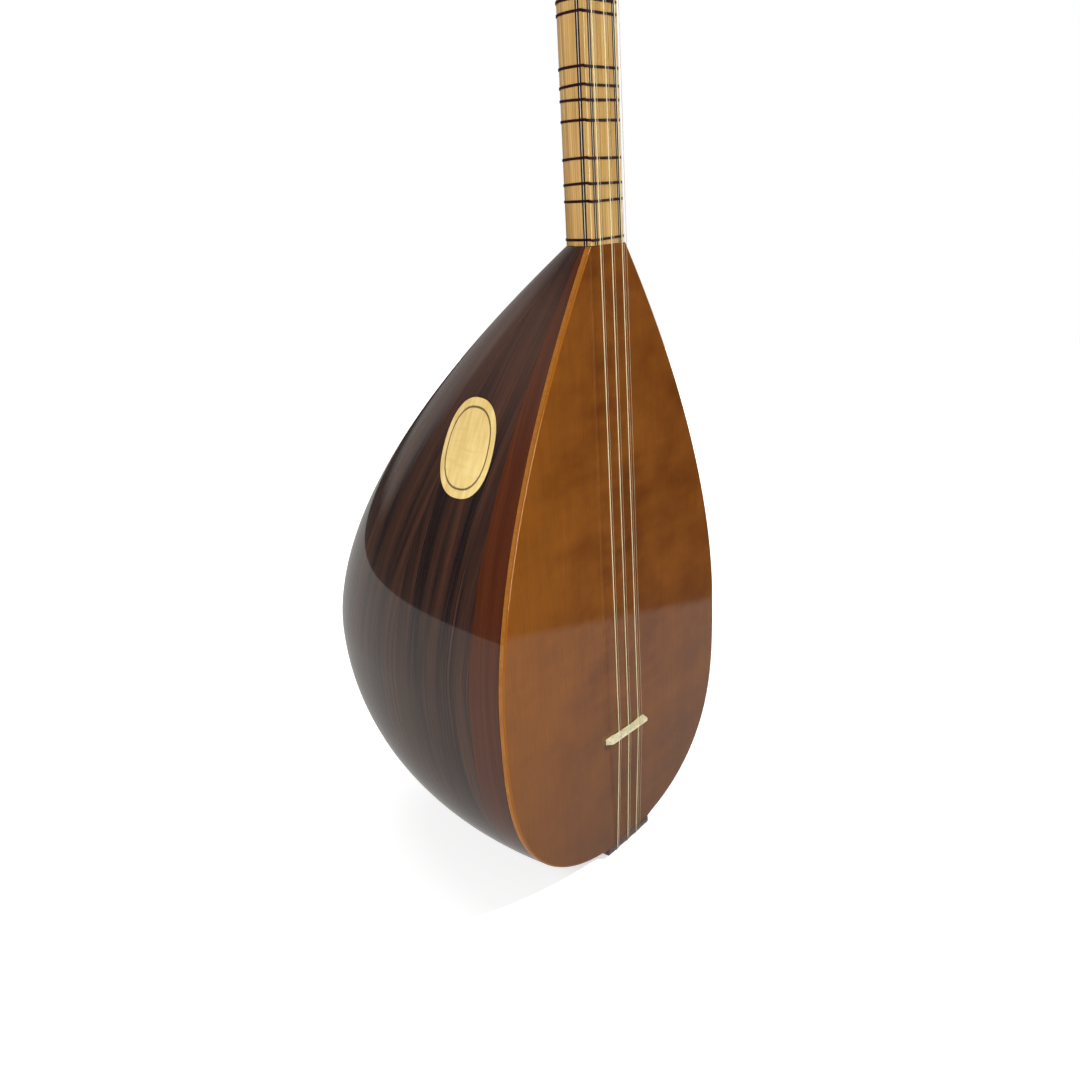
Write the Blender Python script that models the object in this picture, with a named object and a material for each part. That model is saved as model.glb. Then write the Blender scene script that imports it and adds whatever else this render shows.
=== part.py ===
"""Long-neck baglama, modelled upright, in metres. +Z runs up the neck, the soundboard faces -Y and +X is the
treble side. The origin is on the centre line, at the tail end of the soundboard's front face."""

import math

import bmesh
import bpy
from mathutils import Matrix, Vector

# Clearances
GAP = 0.0003
STRING_OVER_FRETS = 0.0003

# Bowl and soundboard
BODY_LENGTH = 0.410
BODY_HALF_WIDTH = 0.1275
WIDEST_Z = 0.1464
BODY_JOINT_HALF_WIDTH = 0.0190
BODY_TAIL_POWER = 3.35
BODY_TAIL_ROOT = 2.074
BODY_TAPER_POWER = 1.713
BOWL_DEPTH = 0.2356
DEEPEST_Z = 0.1469
BOWL_JOINT_DEPTH = 0.0272
BOWL_TAIL_POWER = 2.1
BOWL_TAIL_ROOT = 2.1
BOWL_TAPER_POWER = 1.67
BOWL_WALL = 0.003
TAIL_CUT_Z = 0.0016
SOUNDBOARD_THICKNESS = 0.00375
SOUNDBOARD_EDGE_RADIUS = 0.0010
STAVE_COUNT = 9
EDGE_STAVE_WIDTH = 0.024
SOUND_HOLE_Z = 0.018
SOUND_HOLE_RADIUS = 0.009

# Blocks inside the bowl
NECK_BLOCK_LENGTH = 0.042
TAIL_BLOCK_HEIGHT = 0.022
TAIL_BLOCK_GAP = 0.0009

# Oval inlay in the bass side of the bowl, as seen square from the side
OVAL_Y = 0.0540
OVAL_BELOW_JOINT = 0.1130
OVAL_HALF_Y = 0.0237
OVAL_HALF_Z = 0.0287
OVAL_THICKNESS = 0.0010

# Neck
NECK_LENGTH = 0.5785
NECK_HALF_WIDTH = 0.0177
NECK_NUT_HALF_WIDTH = 0.0161
NECK_DEPTH = 0.0282
NECK_SHOULDER = 0.0018
FINGERBOARD_THICKNESS = 0.0030
VENEER_THICKNESS = 0.0026
FILET_FROM_EDGE = 0.0050
FILET_HALF_WIDTH = 0.0014
FILET_THICKNESS = 0.0008
NUT_LENGTH = 0.0042
NUT_BEVEL = 0.0006

# Tied frets, as cents above the open string, and the place of the last one above the body joint
FRET_CENTS = (
    99, 151, 204, 303, 355, 408, 498, 597, 702, 801, 853, 906, 996, 1095,
    1175, 1200, 1312, 1352, 1385, 1432, 1525, 1591, 1638, 1749,
)
LAST_FRET_ABOVE_JOINT = 0.0036
FRET_WIDTH = 0.0010
FRET_THICKNESS = 0.0006
FRET_PLAY = 0.002

# Bridge and tailpiece
BRIDGE_HEIGHT = 0.0044
BRIDGE_HALF_LENGTH = 0.0238
BRIDGE_TOP_HALF_LENGTH = 0.0203
BRIDGE_BASE_THICKNESS = 0.0042
BRIDGE_TOP_THICKNESS = 0.0019
BRIDGE_FOOT = 0.0080
BRIDGE_ARCH = 0.0014
BRIDGE_SLANT = math.radians(2.0)
TAILPIECE_HEIGHT = 0.0056
TAILPIECE_PROUD = 0.0005
TAILPIECE_ROUNDING = 0.0028
STRING_HOLE_RADIUS = 0.0011
STRING_HOLE_Y = 0.0100
STRING_HOLE_DEPTH = 0.0042
HOLE_ROW_INSET = 0.0095
STRING_IN_HOLE = 0.0030

# Strings, bass side first: sideways places at the tail and the bridge
WOUND_RADIUS = 0.00032
PLAIN_RADIUS = 0.00020
STRING_TAIL_X = (-0.0151, -0.0131, -0.0018, 0.0008, 0.0092, 0.0117, 0.0146)
STRING_BRIDGE_X = (-0.0146, -0.0120, -0.0026, 0.0004, 0.0097, 0.0122, 0.0148)
STRING_FROM_NUT_EDGE = 0.0026
STRING_PAIR_AT_NUT = 0.0024
WOUND_STRINGS = (0, 2, 4)
PEG_TURNS = 2.5
TURN_SPACING = 0.0005

# Head and pegs, in the head's own frame: x across, y into the head, z up the head
HEAD_TILT = math.radians(10.0)
HEAD_DROP = 0.0010
HEAD_HALF_WIDTH = 0.0156
HEAD_TOP_HALF_WIDTH = 0.0148
HEAD_DEPTH = 0.0265
HEAD_TOP_DEPTH = 0.0230
HEAD_CORNER = 0.0035
HEAD_BLEND = 0.020
HEAD_CROWN = 0.012
HEAD_CROWN_STEPS = ((0.5, 0.88), (1.0, 0.60))
HEAD_FOOT_POWER = 4.0
HEAD_TOP_POWER = 5.0
PEG_RADIUS = 0.0042
PEG_TAPER = 0.020
PEG_EXPOSED = 0.0140
PEG_TIP_RECESS = 0.0006
HOLE_OVERRUN = 0.004
PEG_REST_TURN = math.radians(48)
# Collar, waist and flat grip of a peg: half-width across, half-thickness, distance past the stem
PEG_GRIP = (
    (0.0064, 0.0064, 0.0008), (0.0064, 0.0064, 0.0028), (0.0046, 0.0046, 0.0040), (0.0090, 0.0046, 0.0068),
    (0.0145, 0.0046, 0.0110), (0.0155, 0.0040, 0.0150), (0.0125, 0.0030, 0.0185), (0.0060, 0.0014, 0.0205),
)
FRONT_PEGS = 4
SIDE_PEGS = 3
FIRST_PEG_Z = 0.030
PEG_SPACING = 0.019
HEAD_PAST_LAST_PEG = 0.028
SIDE_PEG_DEPTH = 0.0110
COIL_START = 0.0085

# Facets
BODY_ROWS = 20
STAVE_COLUMNS = 3
OUTLINE_POINTS = 30
BACK_POINTS = 5
SHOULDER_POINTS = 2
PEG_SIDES = 12
HOLE_SIDES = 16
OVAL_RINGS = 3
OVAL_SPOKES = 24
BLOCK_POINTS = 12
TURN_POINTS = 10
BEND_STEPS = 3
ARC_SAMPLES = 400

# Places that follow from the sizes above
OVAL_Z = BODY_LENGTH - OVAL_BELOW_JOINT
RIM_Y = SOUNDBOARD_THICKNESS + GAP
NUT_Z = BODY_LENGTH + NECK_LENGTH
LAST_FRET_SHARE = 2 ** (-FRET_CENTS[-1] / 1200)
SCALE_LENGTH = (NECK_LENGTH - LAST_FRET_ABOVE_JOINT) / (1 - LAST_FRET_SHARE)
BRIDGE_Z = NUT_Z - SCALE_LENGTH
STRING_AT_BRIDGE = BRIDGE_HEIGHT + GAP + WOUND_RADIUS
VENEER_Y = FINGERBOARD_THICKNESS + GAP
NECK_TOP_Y = VENEER_Y + VENEER_THICKNESS + GAP
NECK_END_Z = NUT_Z + NUT_LENGTH
STRING_AT_NUT = GAP + FRET_THICKNESS + STRING_OVER_FRETS + WOUND_RADIUS
FRONT_PEG_Z = tuple(FIRST_PEG_Z + 2 * PEG_SPACING * i for i in range(FRONT_PEGS))
SIDE_PEG_Z = tuple(FIRST_PEG_Z + PEG_SPACING * (2 * i + 1) for i in range(SIDE_PEGS))
HEAD_LENGTH = FRONT_PEG_Z[-1] + HEAD_PAST_LAST_PEG
HEAD_START_Z = NECK_END_Z + GAP
HEAD_AXES = Matrix.Rotation(-HEAD_TILT, 3, "X")
HEAD_ORIGIN = Vector((0, HEAD_DROP, HEAD_START_Z))
TURN_STEPS = int(PEG_TURNS * TURN_POINTS)

COLOURS = {
    "soundboard_wood": ((0.25, 0.090, 0.016), 0.18, 0.0),
    "rosewood": ((0.045, 0.016, 0.010), 0.15, 0.0),
    "edge_rosewood": ((0.080, 0.022, 0.010), 0.15, 0.0),
    "block_wood": ((0.45, 0.30, 0.16), 0.6, 0.0),
    "maple": ((0.72, 0.50, 0.22), 0.3, 0.0),
    "neck_wood": ((0.58, 0.36, 0.15), 0.35, 0.0),
    "fingerboard_wood": ((0.62, 0.40, 0.16), 0.3, 0.0),
    "filet": ((0.03, 0.02, 0.02), 0.4, 0.0),
    "fret_line": ((0.05, 0.015, 0.02), 0.35, 0.0),
    "bone": ((0.75, 0.68, 0.42), 0.4, 0.0),
    "tail_wood": ((0.035, 0.018, 0.018), 0.25, 0.0),
    "peg_wood": ((0.040, 0.020, 0.015), 0.3, 0.0),
    "wound_string": ((0.70, 0.62, 0.38), 0.3, 1.0),
    "plain_string": ((0.62, 0.60, 0.58), 0.2, 1.0),
}


def clear_scene():
    for obj in list(bpy.data.objects):
        bpy.data.objects.remove(obj, do_unlink=True)


def material(name):
    found = bpy.data.materials.get(name)
    if found:
        return found
    colour, roughness, metallic = COLOURS[name]
    made = bpy.data.materials.new(name)
    made.use_nodes = True
    shader = made.node_tree.nodes["Principled BSDF"]
    shader.inputs["Base Color"].default_value = (*colour, 1.0)
    shader.inputs["Roughness"].default_value = roughness
    shader.inputs["Metallic"].default_value = metallic
    return made


def add_object(name, bm, material_name, origin=(0, 0, 0), axes=None, smooth=True):
    """Makes a mesh object from a bmesh whose points are given in the object's own frame."""
    bmesh.ops.recalc_face_normals(bm, faces=bm.faces)
    mesh = bpy.data.meshes.new(name)
    bm.to_mesh(mesh)
    bm.free()
    if smooth:
        mesh.shade_smooth()
        mesh.set_sharp_from_angle(angle=math.radians(35))
    mesh.materials.append(material(material_name))
    obj = bpy.data.objects.new(name, mesh)
    bpy.context.scene.collection.objects.link(obj)
    turn = axes.to_4x4() if axes else Matrix.Identity(4)
    obj.matrix_world = Matrix.Translation(origin) @ turn
    return obj


def loft(rings, closed_ends=True):
    """A bmesh skin over rings that have the same number of points, with a face on each end."""
    bm = bmesh.new()
    rows = [[bm.verts.new(point) for point in ring] for ring in rings]
    count = len(rings[0])
    for low, high in zip(rows, rows[1:]):
        for i in range(count):
            j = (i + 1) % count
            bm.faces.new((low[i], low[j], high[j], high[i]))
    if closed_ends:
        bm.faces.new(rows[0])
        bm.faces.new(rows[-1])
    else:
        for i in range(count):
            j = (i + 1) % count
            bm.faces.new((rows[-1][i], rows[-1][j], rows[0][j], rows[0][i]))
    return bm


def hide_cutter(obj):
    obj.hide_render = True
    obj.display_type = "WIRE"
    return obj


def cut(obj, cutter):
    modifier = obj.modifiers.new("cut_" + cutter.name, "BOOLEAN")
    modifier.operation = "DIFFERENCE"
    modifier.solver = "EXACT"
    modifier.object = cutter


def swell(z, widest, widest_z, at_joint, tail_power, tail_root, taper_power):
    """Half-width or depth at height z: a blunt round tail, then a taper up to the neck joint."""
    if z < widest_z:
        t = (widest_z - z) / widest_z
        return widest * (1 - t**tail_power) ** (1 / tail_root)
    s = (z - widest_z) / (BODY_LENGTH - widest_z)
    return at_joint + (widest - at_joint) * (1 - s**taper_power)


def body_half_width(z):
    return swell(
        z, BODY_HALF_WIDTH, WIDEST_Z, BODY_JOINT_HALF_WIDTH, BODY_TAIL_POWER, BODY_TAIL_ROOT, BODY_TAPER_POWER
    )


def bowl_depth(z):
    return swell(
        z, BOWL_DEPTH, DEEPEST_Z, BOWL_JOINT_DEPTH, BOWL_TAIL_POWER, BOWL_TAIL_ROOT, BOWL_TAPER_POWER
    )


def bowl_surface(angle, z):
    """Outer surface of the bowl: angle 0 is the treble rim, pi the bass rim."""
    across = body_half_width(z)
    deep = bowl_depth(z) - RIM_Y
    return Vector((across * math.cos(angle), RIM_Y + deep * math.sin(angle), z))


def bowl_point(angle, z, inset=0.0):
    """A point the given distance inside the bowl's outer surface, square to it."""
    point = bowl_surface(angle, z)
    if inset == 0.0:
        return point
    step = 1e-5
    along = bowl_surface(angle, min(z + step, BODY_LENGTH)) - bowl_surface(angle, z - step)
    around = bowl_surface(angle + step, z) - bowl_surface(angle - step, z)
    return point - around.cross(along).normalized() * inset


def crowded_heights(count):
    """Heights from the tail cut to the neck joint, close together at the tail."""
    top = BODY_LENGTH - GAP
    rise = top - TAIL_CUT_Z
    return [top - rise * math.cos(math.pi / 2 * i / count) for i in range(count)] + [top]


def body_heights(rows):
    """Heights at even steps along the back of the bowl, from the tail cut to the neck joint."""
    levels = crowded_heights(ARC_SAMPLES)
    lengths = [0.0]
    for low, high in zip(levels, levels[1:]):
        step = math.hypot(bowl_depth(high) - bowl_depth(low), high - low)
        lengths.append(lengths[-1] + step)
    chosen = []
    k = 0
    for i in range(rows + 1):
        target = lengths[-1] * i / rows
        while k < ARC_SAMPLES and lengths[k] < target:
            k += 1
        chosen.append(levels[k])
    chosen[-1] = levels[-1]
    return chosen


def stave_seams():
    """Seam angles from the bass rim to the treble rim: a narrow stave at each rim, the rest equal."""
    steps = ARC_SAMPLES
    points = [bowl_surface(math.pi * i / steps, WIDEST_Z) for i in range(steps + 1)]
    lengths = [0.0]
    for a, b in zip(points, points[1:]):
        lengths.append(lengths[-1] + (b - a).length)
    wide = (lengths[-1] - 2 * EDGE_STAVE_WIDTH) / (STAVE_COUNT - 2)
    targets = [0.0] + [EDGE_STAVE_WIDTH + wide * i for i in range(STAVE_COUNT - 1)] + [lengths[-1]]
    seams = []
    for target in targets:
        k = min(range(steps + 1), key=lambda i: abs(lengths[i] - target))
        seams.append(math.pi - math.pi * k / steps)
    return seams


def seam_shift(angle, z, distance):
    """The angle that moves a point on the bowl this far around it, at this height."""
    step = 1e-4
    around = (bowl_surface(angle + step, z) - bowl_surface(angle - step, z)).length / (2 * step)
    return distance / around


def make_stave(name, start, end, columns, material_name):
    heights = body_heights(BODY_ROWS)
    at_bass_rim = abs(start - math.pi) < 1e-6
    at_treble_rim = abs(end) < 1e-6
    rings = []
    for z in heights:
        first = start if at_bass_rim else start - seam_shift(start, z, GAP / 2)
        last = end if at_treble_rim else end + seam_shift(end, z, GAP / 2)
        angles = [first + (last - first) * i / columns for i in range(columns + 1)]
        outer = [bowl_point(a, z) for a in angles]
        inner = [bowl_point(a, z, BOWL_WALL) for a in reversed(angles)]
        rings.append(outer + inner)
    for point in rings[-1]:
        point.z = heights[-1]
    return add_object(name, loft(rings), material_name)


def make_bowl():
    seams = stave_seams()
    staves = []
    for i in range(STAVE_COUNT):
        at_edge = i in (0, STAVE_COUNT - 1)
        columns = 2 if at_edge else STAVE_COLUMNS
        wood = "edge_rosewood" if at_edge else "rosewood"
        staves.append(make_stave("bowl_stave_%d" % (i + 1), seams[i], seams[i + 1], columns, wood))
    return staves, seams


def body_outline(points):
    """Outline of the body in the XZ plane, up the treble side and down the bass side."""
    treble = [(body_half_width(z), z) for z in crowded_heights(points)]
    bass = [(-x, z) for x, z in reversed(treble)]
    return treble + bass


def make_soundboard():
    bm = bmesh.new()
    outline = body_outline(OUTLINE_POINTS)
    front = [bm.verts.new((x, 0, z)) for x, z in outline]
    back = [bm.verts.new((x, SOUNDBOARD_THICKNESS, z)) for x, z in outline]
    count = len(outline)
    bm.faces.new(front)
    bm.faces.new(list(reversed(back)))
    for i in range(count):
        j = (i + 1) % count
        bm.faces.new((front[i], back[i], back[j], front[j]))
    sides = [edge for edge in bm.edges if all(v.co.y == 0 for v in edge.verts)]
    tail_edge = [e for e in sides if all(abs(v.co.z - TAIL_CUT_Z) < 1e-7 for v in e.verts)]
    joint_edge = [e for e in sides if all(abs(v.co.z - (BODY_LENGTH - GAP)) < 1e-7 for v in e.verts)]
    rounded = [e for e in sides if e not in tail_edge and e not in joint_edge]
    bmesh.ops.bevel(
        bm, geom=rounded, offset=SOUNDBOARD_EDGE_RADIUS, segments=2, profile=0.5, affect="EDGES"
    )
    return add_object("soundboard", bm, "soundboard_wood")


def half_ellipse(half_width, front_y, depth, z, points):
    """Ring of a half ellipse at height z, flat at front_y."""
    ring = []
    for i in range(points + 1):
        angle = math.pi * i / points
        ring.append(Vector((half_width * math.cos(angle), front_y + depth * math.sin(angle), z)))
    return ring


def inside_half_width(z):
    """Half-width left inside the wall, measured level."""
    step = 1e-4
    slope = (body_half_width(z) - body_half_width(z - step)) / step
    return body_half_width(z) - (BOWL_WALL + 2 * GAP) * math.sqrt(1 + slope**2)


def inside_depth(z):
    step = 1e-4
    slope = (bowl_depth(z) - bowl_depth(z - step)) / step
    return bowl_depth(z) - (BOWL_WALL + 2 * GAP) * math.sqrt(1 + slope**2)


def make_blocks():
    top = BODY_LENGTH - GAP
    rings = []
    for share in (0.0, 0.5, 1.0):
        z = top - NECK_BLOCK_LENGTH * (1 - share)
        rings.append(half_ellipse(inside_half_width(z), RIM_Y, inside_depth(z) - RIM_Y, z, BLOCK_POINTS))
    add_object("neck_block", loft(rings), "block_wood")
    half_width = body_half_width(TAIL_CUT_Z) - TAIL_BLOCK_GAP
    depth = bowl_depth(TAIL_CUT_Z) - RIM_Y - TAIL_BLOCK_GAP
    low = half_ellipse(half_width, RIM_Y, depth, TAIL_CUT_Z, BLOCK_POINTS)
    high = half_ellipse(half_width, RIM_Y, depth, TAIL_CUT_Z + TAIL_BLOCK_HEIGHT, BLOCK_POINTS)
    add_object("tail_block", loft([low, high]), "block_wood")


def bowl_side_x(y, z):
    """X of the bowl's bass side at a place seen square from the side."""
    share = (y - RIM_Y) / (bowl_depth(z) - RIM_Y)
    return -body_half_width(z) * math.sqrt(1 - share**2)


def oval_solid(near, far, grow):
    """Closed oval lens that follows the bass side of the bowl, from near to far below its surface."""
    bm = bmesh.new()
    skins = []
    for depth in (near, far):
        centre = bm.verts.new(oval_point(0, 0, depth))
        rows = []
        for k in range(1, OVAL_RINGS + 1):
            share = k / OVAL_RINGS
            row = []
            for i in range(OVAL_SPOKES):
                angle = 2 * math.pi * i / OVAL_SPOKES
                y = share * (OVAL_HALF_Y + grow) * math.cos(angle)
                z = share * (OVAL_HALF_Z + grow) * math.sin(angle)
                row.append(bm.verts.new(oval_point(y, z, depth)))
            rows.append(row)
        for i in range(OVAL_SPOKES):
            j = (i + 1) % OVAL_SPOKES
            bm.faces.new((centre, rows[0][i], rows[0][j]))
            for low, high in zip(rows, rows[1:]):
                bm.faces.new((low[i], high[i], high[j], low[j]))
        skins.append(rows[-1])
    for i in range(OVAL_SPOKES):
        j = (i + 1) % OVAL_SPOKES
        bm.faces.new((skins[0][i], skins[1][i], skins[1][j], skins[0][j]))
    return bm


def oval_point(y, z, depth):
    return Vector((bowl_side_x(OVAL_Y + y, OVAL_Z + z) + depth, OVAL_Y + y, OVAL_Z + z))


def make_oval(staves, seams):
    bite = OVAL_THICKNESS + GAP
    cutter = hide_cutter(add_object("oval_pocket", oval_solid(-BOWL_WALL, bite, GAP), "maple"))
    highest = OVAL_Y + OVAL_HALF_Y + GAP
    lowest = OVAL_Y - OVAL_HALF_Y - GAP
    deep = bowl_depth(OVAL_Z) - RIM_Y
    for stave, start, end in zip(staves, seams, seams[1:]):
        if end < math.pi / 2:
            break
        if RIM_Y + deep * math.sin(start) < highest and RIM_Y + deep * math.sin(end) > lowest:
            cut(stave, cutter)
    add_object("oval_inlay", oval_solid(0.0, OVAL_THICKNESS, 0.0), "maple")


def make_sound_hole(stave):
    centre = bowl_point(math.pi / 2, SOUND_HOLE_Z)
    inside = bowl_point(math.pi / 2, SOUND_HOLE_Z, BOWL_WALL)
    axis = (centre - inside).normalized()
    reach = 4 * BOWL_WALL
    sideways = Vector((1, 0, 0))
    upward = axis.cross(sideways)
    rings = []
    for distance in (-reach, reach):
        ring = []
        for i in range(HOLE_SIDES):
            angle = 2 * math.pi * i / HOLE_SIDES
            spread = sideways * math.cos(angle) + upward * math.sin(angle)
            ring.append(centre + axis * distance + spread * SOUND_HOLE_RADIUS)
        rings.append(ring)
    cut(stave, hide_cutter(add_object("sound_hole", loft(rings), "rosewood")))


def neck_half_width(z):
    share = (z - BODY_LENGTH) / NECK_LENGTH
    return NECK_HALF_WIDTH + (NECK_NUT_HALF_WIDTH - NECK_HALF_WIDTH) * share


def half_section(half_width, depth, corner, power=2.0, points=BACK_POINTS):
    """+X half of the section of the neck or head: flat front, rounded shoulder, curved back."""
    edge = half_width * (1 - (corner / depth) ** power) ** (1 / power)
    profile = []
    for i in range(SHOULDER_POINTS + 1):
        angle = math.pi / 2 * i / SHOULDER_POINTS
        profile.append((edge - corner + corner * math.sin(angle), corner - corner * math.cos(angle)))
    start = math.asin((corner / depth) ** (power / 2))
    for i in range(1, points + 1):
        angle = start + (math.pi / 2 - start) * i / points
        across = max(math.cos(angle), 0.0) ** (2 / power) if i < points else 0.0
        profile.append((half_width * across, depth * math.sin(angle) ** (2 / power)))
    return profile


def mirrored(profile):
    """A whole section from its +X half, with a point on the centre line taken once."""
    left = [(-x, y) for x, y in reversed(profile) if x > 0]
    return profile + left


def x_at(profile, y):
    """Half-width of a half section at a depth below its front."""
    for (x0, y0), (x1, y1) in zip(profile, profile[1:]):
        if y0 <= y <= y1:
            share = (y - y0) / (y1 - y0)
            return x0 * (1 - share) + x1 * share
    return 0.0


def slice_of(profile, front_y, back_y):
    """The part of a half section between two depths."""
    between = [(x, y) for x, y in profile if front_y < y < back_y]
    return [(x_at(profile, front_y), front_y)] + between + [(x_at(profile, back_y), back_y)]


def neck_section(z):
    return half_section(neck_half_width(z), NECK_DEPTH, NECK_SHOULDER)


def neck_slice(front_y, back_y, low_z, high_z):
    """The part of the neck between two depths and two heights."""
    rings = []
    for z in (low_z, high_z):
        section = mirrored(slice_of(neck_section(z), front_y, back_y))
        rings.append([Vector((x, y, z)) for x, y in section])
    return loft(rings)


def make_neck():
    return add_object("neck", neck_slice(NECK_TOP_Y, NECK_DEPTH, BODY_LENGTH, NECK_END_Z), "neck_wood")


def filet_x(z):
    return neck_half_width(z) - FILET_FROM_EDGE


def make_fingerboard():
    low_z = BODY_LENGTH
    high_z = NUT_Z - GAP
    board = neck_slice(0.0, FINGERBOARD_THICKNESS, low_z, high_z)
    fingerboard = add_object("fingerboard", board, "fingerboard_wood")
    for side, name in ((-1, "bass_filet"), (1, "treble_filet")):
        groove = strip(side, FILET_HALF_WIDTH + GAP, -GAP, FILET_THICKNESS + GAP, low_z - GAP, high_z + GAP)
        cut(fingerboard, hide_cutter(add_object(name + "_groove", groove, "filet")))
        inlay = strip(side, FILET_HALF_WIDTH, 0.0, FILET_THICKNESS, low_z, high_z)
        add_object(name, inlay, "filet", smooth=False)
    return fingerboard


def strip(side, half_width, front_y, back_y, low_z, high_z):
    """Long thin strip along the neck that follows its taper."""
    rings = []
    for z in (low_z, high_z):
        x = side * filet_x(z)
        corners = ((-half_width, front_y), (half_width, front_y), (half_width, back_y), (-half_width, back_y))
        rings.append([Vector((x + dx, y, z)) for dx, y in corners])
    return loft(rings)


def make_veneer():
    veneer = neck_slice(VENEER_Y, VENEER_Y + VENEER_THICKNESS, BODY_LENGTH, NUT_Z - GAP)
    return add_object("neck_veneer", veneer, "filet", smooth=False)


def make_nut():
    top_y = -(STRING_AT_NUT - WOUND_RADIUS - GAP)
    back_y = NECK_TOP_Y - GAP
    half = neck_half_width(NUT_Z) - GAP
    bevel = NUT_BEVEL
    profile = (
        (-half, back_y), (half, back_y), (half, top_y + bevel), (half - bevel, top_y),
        (-half + bevel, top_y), (-half, top_y + bevel),
    )
    rings = [[Vector((x, y, z)) for x, y in profile] for z in (NUT_Z, NECK_END_Z)]
    return add_object("nut", loft(rings), "bone", smooth=False)


def fret_height(cents):
    return NUT_Z - SCALE_LENGTH * (1 - 2 ** (-cents / 1200))


def grown(outline, distance):
    """A convex outline, taken anticlockwise, moved outwards by the distance."""
    moved = []
    count = len(outline)
    for i, point in enumerate(outline):
        here = Vector(point)
        before = (here - Vector(outline[i - 1])).normalized()
        after = (Vector(outline[(i + 1) % count]) - here).normalized()
        first = Vector((before.y, -before.x))
        second = Vector((after.y, -after.x))
        outward = (first + second).normalized()
        moved.append(here + outward * distance / outward.dot(first))
    return moved


def make_fret(number, cents):
    """A tied fret: one closed band round the neck. Its origin is on the fingerboard's front face."""
    z = fret_height(cents)
    half = neck_half_width(z - FRET_PLAY)
    section = mirrored(half_section(half, NECK_DEPTH, NECK_SHOULDER))
    inner = grown(section, GAP)
    outer = grown(section, GAP + FRET_THICKNESS)
    w = FRET_WIDTH / 2
    rings = []
    for a, b in zip(inner, outer):
        rings.append([Vector((*p, d)) for p, d in ((a, -w), (a, w), (b, w), (b, -w))])
    return add_object("fret_%02d" % number, loft(rings, closed_ends=False), "fret_line", origin=(0, 0, z))


def make_bridge():
    """Loose bridge. Its origin is on the soundboard under its middle, and it stands out towards -Y."""
    h = BRIDGE_HEIGHT
    rise = GAP
    half = BRIDGE_HALF_LENGTH
    top_half = BRIDGE_TOP_HALF_LENGTH
    foot = half - BRIDGE_FOOT
    arch = rise + BRIDGE_ARCH
    outline = (
        (-half, rise), (-foot, rise), (-foot + BRIDGE_ARCH, arch), (foot - BRIDGE_ARCH, arch), (foot, rise),
        (half, rise), (top_half, h), (0.0, h), (-top_half, h),
    )
    bm = bmesh.new()
    sides = []
    for sign in (-1, 1):
        row = []
        for x, height in outline:
            share = height / h
            thick = BRIDGE_BASE_THICKNESS + (BRIDGE_TOP_THICKNESS - BRIDGE_BASE_THICKNESS) * share
            row.append(bm.verts.new((x, -height, sign * thick / 2)))
        sides.append(row)
    count = len(outline)
    bm.faces.new(sides[0])
    bm.faces.new(list(reversed(sides[1])))
    for i in range(count):
        j = (i + 1) % count
        bm.faces.new((sides[0][i], sides[1][i], sides[1][j], sides[0][j]))
    bmesh.ops.triangulate(bm, faces=bm.faces)
    axes = Matrix.Rotation(BRIDGE_SLANT, 3, "Y")
    return add_object("bridge", bm, "bone", origin=(0, 0, BRIDGE_Z), axes=axes, smooth=False)


def make_tailpiece():
    half_width = body_half_width(TAIL_CUT_Z)
    depth = bowl_depth(TAIL_CUT_Z)
    top = TAIL_CUT_Z - GAP
    bottom = top - TAILPIECE_HEIGHT
    front = -TAILPIECE_PROUD
    r = TAILPIECE_ROUNDING
    rings = [half_ellipse(half_width, front, depth - front, top, BLOCK_POINTS)]
    for i in range(BEND_STEPS + 1):
        angle = math.pi / 2 * i / BEND_STEPS
        inset = r * (1 - math.cos(angle))
        z = bottom + r * (1 - math.sin(angle))
        deep = depth - front - 2 * inset
        rings.append(half_ellipse(half_width - inset, front + inset, deep, z, BLOCK_POINTS))
    tailpiece = add_object("tailpiece", loft(rings), "tail_wood")
    for k in range(len(STRING_TAIL_X)):
        ends = []
        for z in (bottom - GAP, bottom + STRING_HOLE_DEPTH):
            ring = []
            for i in range(PEG_SIDES):
                angle = 2 * math.pi * i / PEG_SIDES
                x = hole_x(k) + STRING_HOLE_RADIUS * math.cos(angle)
                ring.append(Vector((x, STRING_HOLE_Y + STRING_HOLE_RADIUS * math.sin(angle), z)))
            ends.append(ring)
        cut(tailpiece, hide_cutter(add_object("string_hole_%d" % (k + 1), loft(ends), "tail_wood")))
    return tailpiece


def hole_x(k):
    """The holes for the string ends spread evenly across the tailpiece."""
    reach = body_half_width(TAIL_CUT_Z) - HOLE_ROW_INSET
    return -reach + 2 * reach * k / (len(STRING_TAIL_X) - 1)


def head_point(x, y, z):
    """A point given in the head's own frame."""
    return HEAD_ORIGIN + HEAD_AXES @ Vector((x, y, z))


def head_half_width(z):
    return HEAD_HALF_WIDTH + (HEAD_TOP_HALF_WIDTH - HEAD_HALF_WIDTH) * min(z / HEAD_LENGTH, 1.0)


def head_depth(z):
    return HEAD_DEPTH + (HEAD_TOP_DEPTH - HEAD_DEPTH) * min(z / HEAD_LENGTH, 1.0)


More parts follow.
